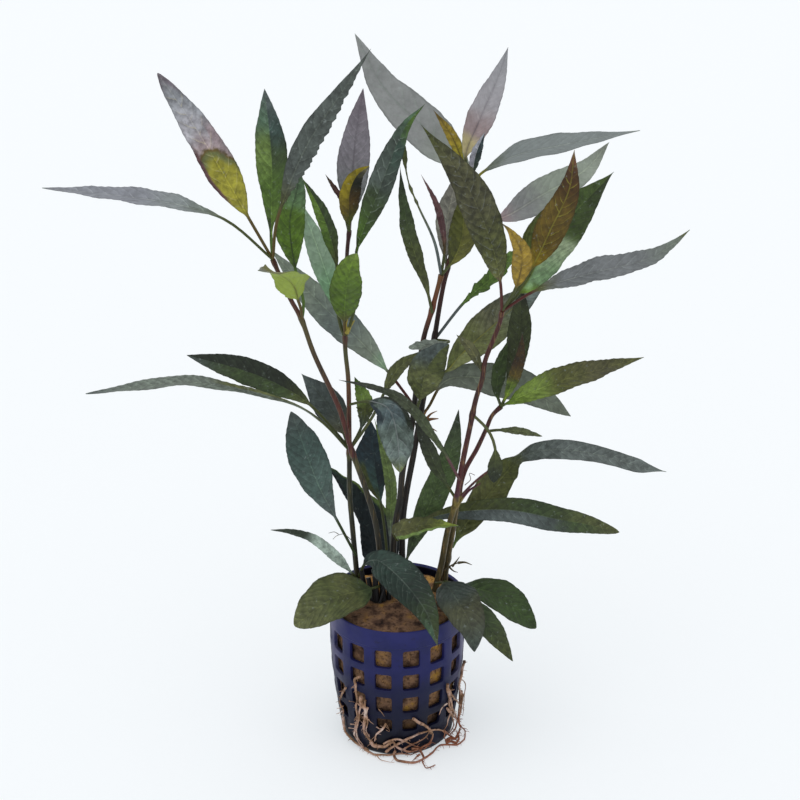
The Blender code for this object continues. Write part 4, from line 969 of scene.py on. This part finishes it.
leaf("leaf_green_narrow",
     "13 11 152, 23 13 165, 33.5 14 175, 44 14 187.5", 6, (-0.2, -0.8, 0.6), 15, (0.48, 1, 1),
     "green, green, grass", "mid_green", stalk="slate", wave=(4, 0.8), teeth=(4.2, 0.7))
leaf("leaf_grey_midrib",
     "11 11 140, 17 14 138.5, 21 16 142.5, 25.5 18 146.5, 33.5 20 153.5, 43 22 161.5, 51.5 23 168",
     14, (0, -0.7, 0.7), 7, (0.5, 0.8, 0.9), "moss, olive 30, drab 55, slate", "slate",
     right="khaki, olive 40, slate", rib="yellow", gain=(1.7, 1.7, 1.7))
leaf("leaf_slate_centre",
     "8 10 123, 11 12 125.5, 16 14 134, 23 15 136, 33 15 135, 46 14.5 131.5, 61.5 12 122", 12.5,
     (0, -0.8, 0.6), 11.5, (0.5, 0.7, 0.9), "slate, slate", "slate", stalk="bronze", mottle=0.2,
     spacing=5.5, gain=(1.55, 1.46, 1.16))
leaf("leaf_slate_long",
     "8 10 124, -2.5 14 137.5, -14 17 150, -25 20 160, -35 22 170.5, -43.5 22 181", 11.5,
     (0.3, -1, 0.3), 19, (0.42, 0.9, 1), "mint, sage 15, slate 40, sage 70, sage", "slate",
     stalk="red_stem", mottle=0.2, spacing=5.5, gain=(1.5, 1.49, 1.42))
leaf("young_grey_flat",
     "13 11 152, 18 7 153, 12 1 154.5, 4 -3 155", 5.5, (0, -0.3, 0.9), 9, (0.5, 0.7, 0.5),
     "sage, sage", gain=(1.09, 1.08, 1.09))
# Its navy tones are a painted bluish sheen on a dark blade, whose green margin is the moss strip.
leaf("leaf_navy",
     "-3 8 60, -5 13 79.5, -8 14 100.5, -9.5 15 119", 8.5, (0, -1, 0.2), 27.5, (0.5, 0.9, 0.9),
     "olive, teal 25, navy 60, navy", "navy", right="teal, ink 30, navy",
     strips=[(-1, 0, 0.5, 0.5, "moss")], edge="0 1.3 1, 0.6 1.7 1, 1 1.2 1",
     gain=(1.09, 1.24, 1.25))
# Its ink tones are painted shade: the blade lies in shadow behind the stems.
leaf("leaf_teal_back",
     "-4 9 57, -7 14 60, -9.5 18 67.5, -13.5 20 77.5, -19.5 20 89, -25 20 98.5", 9.5,
     (0.3, -1, 0.5), 6, "0 0.2, 0.06 0.75, 0.16 0.95, 0.4 1, 0.7 0.72, 0.9 0.3, 1 0", "ink, ink",
     "navy", veins=0.15, right="ink, ink 50, dark_teal 90, green",
     edge="0 1.3 2.4, 0.25 0.9 2.4, 0.4 0.35 2.1, 0.8 0.45 1.5, 1 0.6 1",
     strips=[(1, 0.35, 1, 0.84, "grass")])
leaf("leaf_mid_green",
     "2 10 60, 6 16 69.5, 13.5 18 88, 19.5 18 105.5, 22 18 122", 10.5, (0.2, -1, 0.2), 4.5,
     (0.46, 0.9, 1), "black_green, deep_green 20, deep_green 60, black_green", "mid_green",
     gain=(2, 2, 2))
# The slate tones of its right half are a painted grey sheen on that half of its fold.
leaf("leaf_slate_right",
     "2.5 9 77, 12 13 80.5, 23 13.5 83, 40.5 9 86, 57.5 3 85.5, 68 0 85, 79 -3 83.5", 9.8,
     (0.1, -1, 0.6), 4.5, (0.6, 0.9, 0.65), "olive, moss 30, deep_green 60, olive", "slate",
     right="deep_green, deep_slate 20, slate 35, slate 55, deep_slate 68, deep_green 80, olive")

# Leaves of the main stem on the right.
leaf("leaf_olive_front",
     "35 -9 171, 33.6 -15 185.5, 29 -20 203.5, 20.5 -24 223, 7.5 -22 239.5", 12, (0.2, -1, 0.3),
     14.5, (0.44, 0.6, 1.3), "khaki, olive 20, drab, drab, moss", "olive", vein="steel", veins=0.5,
     stalk="red_stem", mottle=0.5, spacing=4.2, gain=(0.88, 0.86, 0.7))
leaf("leaf_red_gold",
     "35 -9 171, 44.5 -10 187, 50.5 -10 201, 56 -7 213, 57.5 -4 225.5", 10.5, (-0.2, -1, 0.3), 18.5,
     (0.36, 0.8, 1.1), "gold, bronze, bronze, red_brown 70, burgundy", "red_gold", vein="yellow",
     rib="yellow", veins=0.85, gain=(1.1, 1.03, 0.55))
leaf("leaf_silver_green",
     "35 -9 171, 43 -6 179.5, 51 0 193, 61 5 203, 72 8 214", 17, (-0.2, -1, 0.4), 8.5,
     (0.42, 0.6, 1.3), "moss, moss 50, deep_green 60, deep_green", "mid_green",
     right="bright, mint 10, silver 40, deep_green 50, black_green", rib="grass", veins=0.3,
     skew=-0.05, gain=(1.33, 1.34, 1))
leaf("leaf_lavender_right",
     "35 -9 171, 46.5 -11 179.5, 64 -12 186, 81 -11 190, 89.5 -9 194, 96 -8 199.5", 12,
     (0, -0.35, 1), 13, (0.42, 0.8, 1.2), "khaki, steel 20, steel 60, sage 90, olive", "lavender",
     teeth=(2.6, 0.5), stalk="red_stem", mottle=0.17, spacing=4.6)
leaf("young_orange",
     "35 -9 171, 39.3 -14 182, 40.5 -19 194.5, 37 -22 203, 33 -24 208", 7, (0.1, -1, 0.2), 12.5,
     (0.36, 0.7, 1.5), "orange, orange 80, bronze", rib="red_brown", gain=(0.92, 0.91, 0.67))
leaf("leaf_dark_narrow",
     "22 0 103, 15 -4 118, 4.5 -10 136, -5.5 -14 144.5, -19.5 -16 149", 4, (0, -0.8, 0.7), 11,
     (0.42, 0.8, 1), "deep_green, black_green", "dark_green", wave=(4, 0.6), stalk="burgundy",
     gain=(1.7, 1.44, 1.7))
leaf("young_dark_hanging",
     "26 -3 130, 31.5 -7 125.5, 34 -8 118, 33.5 -10 107", 5.5, (0, -1, 0.2), 14.5, (0.6, 1.1, 0.7),
     "moss, black_green", stalk="olive")
leaf("young_dark_right",
     "21 2 94, 14 3 106, 11 2 114, 6 2 125", 5.5, (0.2, -1, 0.3), 6, (0.5, 0.9, 1),
     "deep_green, black_green", gain=(1.23, 1.07, 1.16))
leaf("young_grey_narrow",
     "29.5 -5 145.5, 27.5 -6 151, 24.5 -7 157, 20 -8 162", 4, (0.3, -1, 0.3), 2.5, (0.5, 0.7, 1),
     "olive, khaki", gain=(0.81, 0.74, 0.86))
leaf("leaf_slate_front",
     "14 5 58, 17.5 -2 61.5, 22.5 -18 62.5, 26 -26 58, 27 -32 52", 15, (0, -0.6, 1), 7,
     (0.42, 0.6, 0.8), "deep_slate, deep_slate 30, drab 60, deep_slate", "slate",
     gain=(0.79, 0.83, 0.76))
leaf("leaf_dark_low",
     "17 7 56, 23.5 -5 57.5, 33.5 -17 51.5, 41 -24 43", 10, (0.2, -0.6, 1), 9, (0.48, 0.8, 0.9),
     "deep_green, deep_green, moss", "dark_green")

# Leaves of the second stem on the right.
# The black at the tip of its right half is painted shade in its fold.
leaf("leaf_dark_upright",
     "36 1 131, 39.5 4 139, 42 8 155, 42.5 9 173", 8.5, (0, -1, 0.2), 5.5, (0.52, 0.8, 0.9),
     "deep_green, deep_green 80, black_green", "dark_green",
     right="deep_green, deep_green 70, black", gain=(0.87, 0.72, 0.71))
leaf("leaf_olive_right",
     "36 1 131, 41 -4 136.5, 55 -5 143.5, 69 -5 148, 84 -4 152", 12, (0, -0.45, 1), 3,
     (0.42, 0.8, 1.1), "bright, grass, olive 45, drab 70, olive", "olive", teeth=(2.6, 0.45),
     gain=(1.1, 1.05, 0.82))
leaf("young_red_upright",
     "36 1 131, 38.5 -3 139.5, 41.5 -7 152.5, 42 -10 163.5", 4.5, (0, -1, 0.3), 4, (0.45, 0.8, 1),
     "lime, grass 22, bronze 42, red_brown 58, red_brown", mottle=0.45, gain=(0.67, 0.67, 0.45))
leaf("young_green_upright",
     "36 1 131, 34.5 1 137, 35.5 3 146, 38 5 154", 5.5, (0.3, -1, 0.2), 3, (0.45, 0.8, 1),
     "deep_green, deep_green", gain=(0.86, 0.88, 0.71))
leaf("young_green_low",
     "31 4 120, 36 0 122.5, 42.5 -4 124, 50 -8 124", 3, (0, -0.7, 0.7), 5, (0.5, 0.9, 0.8),
     "olive, olive", gain=(1.05, 1.1, 1.37))
leaf("leaf_arching_right",
     "20 9 70.5, 24.5 14 76.5, 32.5 18 86.5, 39 18 96, 44.5 16 103.5, 52 14 107.5, 63 12 108.5, "
     "74.5 10 107, 86 8.5 104, 96 7 102.5", 14.5, (-0.3, -1, 0.3), 2.5,
     "0 0.1, 0.1 0.6, 0.25 0.86, 0.36 0.62, 0.425 0.24, 0.5 0.46, 0.6 0.52, 0.88 0.42, 1 0",
     "moss, olive, moss 38, deep_slate 46, slate 60, slate", "dark_green", stalk="green",
     gain=(1.31, 1.25, 1.21), tip_face=(0, -0.5, 1))
leaf("leaf_green_rim",
     "17 8 57, 23.5 5 57, 33.5 -1 58, 41 -6 55.5, 50 -10 48", 14, (0.2, -0.5, 1), 7,
     (0.5, 0.8, 0.65), "slate, deep_green 20, deep_green", "mid_green", gain=(0.82, 0.95, 0.68))


# The small growths between the leaves: stubs of stems in the wool, black with painted deep shade, a
# twig and a thin stalk on the right-hand stems, two buds, and a few whiskers. All soft, grown where
# they stand.
TWIG_RINGS = 16


def growths(name, finish, twigs):
    """Thin strands, each as (radius at its foot, radius at its end, points)."""
    strands = []
    for foot, tip, points in twigs:
        centres, _ = route(numbers(points), TWIG_RINGS)
        radii = [(foot + (tip - foot) * i / (TWIG_RINGS - 1)) * MM for i in range(TWIG_RINGS)]
        strands.append((centres, radii))
    hand_over(tubes(name, strands, 9, finish))


# Painted shade: the stubs are near black all over, for the deep shade where the stems go into the
# wool.
shaded_stub = stem_finish("shaded_stub", [(0, (13, 13, 15)), (1, (17, 17, 17))], (32, 33, 36))
bud_skin = stem_finish("bud_skin", [
    (0.16, (60, 58, 48)), (0.4, (104, 66, 36)), (0.55, (116, 78, 40)), (0.67, (156, 144, 62))],
    (164, 130, 62))
growths("stem_foot_stubs", shaded_stub, [
    (1.3, 0.9, "-9.5 -1.5 46, -9 -0.5 54, -10.5 2 62"),
    (1.4, 1, "-7 -2.5 46, -7.5 -1.5 54, -8 1.5 64"),
    (1.2, 0.7, "-4.5 -2.5 46, -5 -1 56, -6 1.5 66"),
    (1.2, 0.8, "-11.5 0.5 46, -11.5 2 55, -13 4 64"),
    (1.1, 0.6, "-3 -1 46, -3 0.5 56, -3.5 3 68"),
    (0.9, 0.5, "-8.5 -3.5 46, -6.5 -3 53, -4.5 -1 60"),
    (1, 0.6, "1 3 46, 0.5 4 56, 1 6 66"),
])
growths("right_twigs", right_bark, [
    (0.5, 0.35, "21.5 2 94, 27 3 100, 32 5 103.5, 34.5 5 104"),
    (0.45, 0.1, "32 5 103.5, 33.5 4.5 106, 35.5 4.5 107.5"),
    (0.6, 0.3, "21 1.5 91, 25 3 96.5, 29.5 4 99.5"),
    (0.15, 0.1, "24 3.5 99, 26 3 101.5, 25.5 3 104, 27.5 3.5 103"),
    (0.32, 0.2, "17.5 7 62, 19.5 5.5 65, 22 4 67, 24.5 3 68"),
    (0.5, 0.1, "20 5 65, 21.5 4.5 67.5, 22.5 4 69.5"),
    (0.55, 0.1, "22 4 67, 24.5 3.5 67.5, 27 2.5 67"),
    (0.4, 0.1, "19 6 64, 20.5 5 63, 22 4 63"),
])
growths("buds_and_whiskers", bud_skin, [
    (1, 0.2, "-17.3 7 156.5, -16.2 6 159, -14.6 5.5 161.5"),
    (0.6, 0.1, "-17 7 157, -17.5 6 159.5, -16.8 5.5 162"),
    (1.1, 0.15, "8.5 5.5 121.5, 11 6 123.5, 14.5 6 124"),
    (0.8, 0.1, "9 5.5 122, 11.5 6 125.5, 14 6 127"),
    (0.7, 0.1, "8.5 5.5 122.5, 9.5 5 126, 11 5 128.5"),
    (0.6, 0.1, "9 5.5 121.5, 11.5 5 121, 14 5 119.5"),
    (0.16, 0.08, "-16.5 3 77, -19 1 80.5, -21.5 0 80.5, -23 0 79"),
    (0.14, 0.08, "-21 1 80.5, -22.5 0 82, -24.5 0 81.5"),
])


# The roots that have grown out of the windows: tan and pinkish threads that hang on the basket's
# wall and lie on the table round its foot, thick where several run together, with fine side hairs.
ROOT_SEED = 5
ROOT_OFF_WALL = 0.8
ROOT_SWAY = 0.3
ROOT_POINT_STEPS = 14
HAIRY_FROM = 0.4
HAIR_RADIUS = 0.13
HAIR_REACH = 2.6
HAIR_OUTWARD = 0.8
HAIR_STEPS = 8


def root_finish():
    """Tan to pinkish skin, paler and darker at random, redder low on the right where the strands
    are old.
    """
    skin = Finish("root_skin", 0.5, 0.35)
    base = skin.ramp(skin.noise(210, 4), [
        (0.3, (96, 68, 50)), (0.42, (138, 104, 76)), (0.5, (164, 128, 104)),
        (0.6, (186, 154, 138)), (0.7, (206, 186, 174))])
    x, _, z = skin.axes(skin.place)
    old = skin.between(z, 10 * MM, 3 * MM, 0.0, 0.75)
    old = skin.times(skin.between(x, -6 * MM, 14 * MM), old)
    base = skin.blend(old, base, (134, 66, 38))
    skin.colour(skin.blend(skin.patches(620, 0.5, 0.68, 0.0, 0.7), base, (78, 50, 36)))
    skin.bump(skin.noise(1800), 0.4, 0.15 * MM)
    return skin.material


def root_point(place):
    """(angle, height) stands on the pot's wall, 0 at the front; three numbers are a plain point."""
    if len(place) == 3:
        return place
    turn = math.radians(place[0])
    radius = pot_body_radius(place[1] * MM) / MM + ROOT_OFF_WALL
    return (radius * math.sin(turn), -radius * math.cos(turn), place[1])


def root_line(points, thick, count, seed):
    """A strand that wanders a little about its route and thins to its end."""
    centres, _ = route(points, count)
    radii = []
    for i, at in enumerate(centres):
        share = i / (count - 1)
        sway = noise.noise_vector(at * 260 + Vector((seed * 7.3, 0, 0))) * ROOT_SWAY * MM
        at = at + sway * min(1.0, 6 * share)
        radius = thick * MM * (1 - 0.6 * share) * (1 + 0.28 * noise.noise(at * 420))
        at.z = max(at.z, radius * 1.15)
        centres[i] = at
        radii.append(radius)
    return centres, radii


def roots(node, strands):
    """A group of roots, each as (radius, points), with short hairs on the thicker strands."""
    finished = []
    for n, (thick, points) in enumerate(strands):
        places = [root_point(p) for p in numbers(points)]
        centres, radii = root_line(places, thick, ROOT_POINT_STEPS * len(places), n)
        finished.append((centres, radii))
        if thick < HAIRY_FROM:
            continue
        for k in range(len(places) * 2):
            at = centres[(k * 7 + 5) % len(centres)]
            outward = Vector((at.x, at.y, 0)).normalized()
            lean = noise.noise_vector(Vector((k * 3.1, n * 5.7, 1.3))) * HAIR_REACH * MM
            tip = at + (lean + outward * HAIR_OUTWARD * MM)
            tip.z = max(tip.z, 0.4 * MM)
            middle = at.lerp(tip, 0.55) + Vector((0, 0, 0.25 * MM))
            hair = [p / MM for p in (at, middle, tip)]
            finished.append(root_line(hair, HAIR_RADIUS, HAIR_STEPS, n + k))
    hand_over(tubes(node + "_threads", finished, 7, root_skin), node)


noise.seed_set(ROOT_SEED)
root_skin = root_finish()
roots("roots_left", [
    (0.5, "-32 34.8, -37 32.9, -37 30.7, -37 27.7, -36 24, -38 20.2, -38 16.2, -40 12.8, "
          "-43 8.4, -45 5.9, -42 3.9, -37 2, -29 1.2"),
    (0.45, "-33 21.2, -35 18.1, -37 13.9, -39 11.2, -42 8.5, -41 5.1, -35 2.4"),
    (0.75, "-32 26, -32 23.1, -28 21, -29 17.8, -30 14.5, -32 10.7, -30 8.2, -26 5.9, -22 4.2"),
    (0.4, "-28 25, -29 22.1, -29 19.5, -31 15.5, -32 11.5"),
    (0.35, "-36 22.5, -33 21.6, -29 20.3"),
    (0.4, "-26 21.8, -28 18.7, -27 15, -30 10.8, -27 7.8"),
    (0.5, "-10 15.8, -14 12.8, -20 9.8, -22 6.4"),
    (0.2, "-19 13.7, -16 13, -13 13.7"),
    (0.2, "-9 15.3, -7 12.6, -10 12.9"),
    (0.45, "-49 26.7, -56 22, -62 17.5, -59 15.7, -58 13.9, -63 10"),
    (0.6, "-61 10.5, -62 5.2, -59 3.1, -49 2.5, -42 1.8, -34 0.9, -9 -20.7 1.1"),
    (0.25, "-59 13.9, -72 9.5, -22.8 -3.4 6.6"),
    (0.22, "-57 16.5, -65 13.6, -22.4 -3.2 8.9"),
    (0.18, "-46 21.4, -43 21.9, -39 22.4"),
    (0.18, "-53 7.4, -46 8.4, -42 8.7"),
    (0.18, "-49 10.1, -44 10.9, -39 12.5"),
    (0.18, "-26 16.6, -24 15.5, -21 14.8"),
    (0.18, "-16 22.4, -13 21, -11 19.4"),
])
roots("roots_front", [
    (0.65, "-26 5.9, -22 4.2, -13 4.7, -8 6.4, -4 7.3, 0 5.1, 5 3.6, 12 2.4, 21 2.6, 27 3.8, "
           "35 3.8"),
    (0.55, "-2 3, -3 0.9, -0.2 -24.3 0.9, 1.7 -25.2 0.9, 3.6 -25.6 0.9, 6.3 -25.6 0.9, "
           "9.5 -23.8 0.9, 12.5 -20.2 0.9, 14.5 -16.6 1, 16.1 -15.2 1.1, 19.9 -14.7 0.9, "
           "22.6 -14.3 0.9, 24.8 -11 0.9, 25.2 -7.3 0.9, 24.2 -4 0.9, 23.4 -3.3 1.9"),
    (0.2, "-7.6 -21.6 1.1, -6 -23.8 0.9, -3.6 -25.4 0.9, -1 -25.9 0.9"),
    (0.6, "14 18.1, 19 15.9, 25 13.8, 31 10.9, 35 8.1, 35 5.7, 32 3.6, 27 2.2"),
    (0.5, "-11 2.2, -4 5.1, 3 6.9, 9 8.5, 16 9.8, 26 10.6, 35 9.9, 46 7.8, 53 4.8, 53 2.8, "
          "18.1 -12.8 1.1"),
    (0.45, "14 3.7, 20 3.1, 24 1.5, 9.6 -22.5 0.9, 9.2 -25.6 0.9, 10.1 -28.8 0.9, "
           "12.1 -28.5 0.9, 14 -27.4 0.9"),
    (0.4, "8.2 -21.2 1.1, 7 -22.5 0.9, 5.8 -24.3 0.9"),
    (0.5, "-34 0.9, -9 -20.7 1.1, -6 -21.2 1.1, -8 0.9, 2 1.7, 13 0.9, 22 1.2"),
    (0.4, "-13 6, -7 7.9, 1 8.8, 8 7.6, 15 5.3, 23 3.3"),
    (0.4, "5 3.4, 12 5.5, 20 6.3, 28 7.8, 32 10.1"),
])
roots("roots_right", [
    (0.55, "47 28.7, 48 25.9, 55 19.2, 61 13.8, 22 -3.2 5.1, 22.9 -3.3 2.5, 24 -4 0.9"),
    (0.8, "23.5 -2.9 16.5, 23.3 -3.1 12.2, 23.1 -3.2 8.3, 22.9 -3.3 4.4, 23.4 -3.7 1.1"),
    (0.4, "48 26.7, 57 20.7, 73 14.2, 23.7 -3.2 9.2"),
    (0.22, "74 24, 24.6 -2.7 20.6, 25.2 -3.1 17.9, 24.9 -3.3 14.2, 24.7 -3.3 10.4, 24.2 -3.5 5.9"),
    (0.55, "50 17.1, 59 12.9, 74 6.8, 23 -3.3 2.1"),
    (0.35, "58 13.8, 54 11.1, 54 8.3, 51 7"),
    (0.3, "49 19.7, 42 18.9, 40 16.5"),
    (0.7, "18 -12.8 1.1, 19.5 -10.8 1.1, 21.3 -10.9 0.9, 22.5 -8.4 0.9, 23.4 -4.5 0.9"),
    (0.6, "17.9 -13.9 1, 19.8 -13 1.1, 21.6 -13.4 0.9, 22.8 -10.3 0.9, 22.2 -7 1.1"),
    (0.5, "51 6.4, 63 1.6, 20.6 -10.1 1.1, 22 -12.2 0.9"),
    (0.6, "80 30.5, 71 28.7, 69 23.2, 23.4 -2.9 15.1"),
    (0.5, "24.3 -3 15.2, 23.8 -3.3 11.4, 23.5 -3.4 7.5, 22.4 -3.3 3.4, 21.5 -5.1 1.1, 66 0.9"),
    (0.4, "52 21.8, 53 17.6, 62 10.8, 73 3.7, 62 2.7"),
])


# The table the pot stands on, of a plain pale grey that glows a little with a painted light of its
# own to keep its shadows faint, and the light: a bright even room with one large soft lamp above, a
# little to the left and in front.
floor_finish = Finish("pale_table", 0.8, 0.05)
floor_finish.colour((0.48, 0.48, 0.48, 1))
# Painted light: the table glows with a pale bluish emission so that shadows on it stay faint.
floor_finish.feed(floor_finish.inputs["Emission Color"], (0.445, 0.475, 0.495, 1))
floor_finish.feed(floor_finish.inputs["Emission Strength"], 1.0)
floor_mesh = bpy.data.meshes.new("table_top")
floor_mesh.from_pydata([(-4, -4, 0), (4, -4, 0), (4, 6, 0), (-4, 6, 0)], [], [(0, 1, 2, 3)])
table = placed("table_top", floor_mesh, floor_finish.material)
world = bpy.data.worlds.new("room")
world.use_nodes = True
world.node_tree.nodes["Background"].inputs[0].default_value = (0.97, 0.981, 1.0, 1.0)
world.node_tree.nodes["Background"].inputs[1].default_value = 0.84
bpy.context.scene.world = world
sun = bpy.data.lights.new("soft_lamp", "SUN")
sun.energy = 0.7
sun.angle = math.radians(60)
lamp = bpy.data.objects.new("soft_lamp", sun)
lamp.rotation_euler = (math.radians(14), math.radians(-10), 0)
bpy.context.scene.collection.objects.link(lamp)
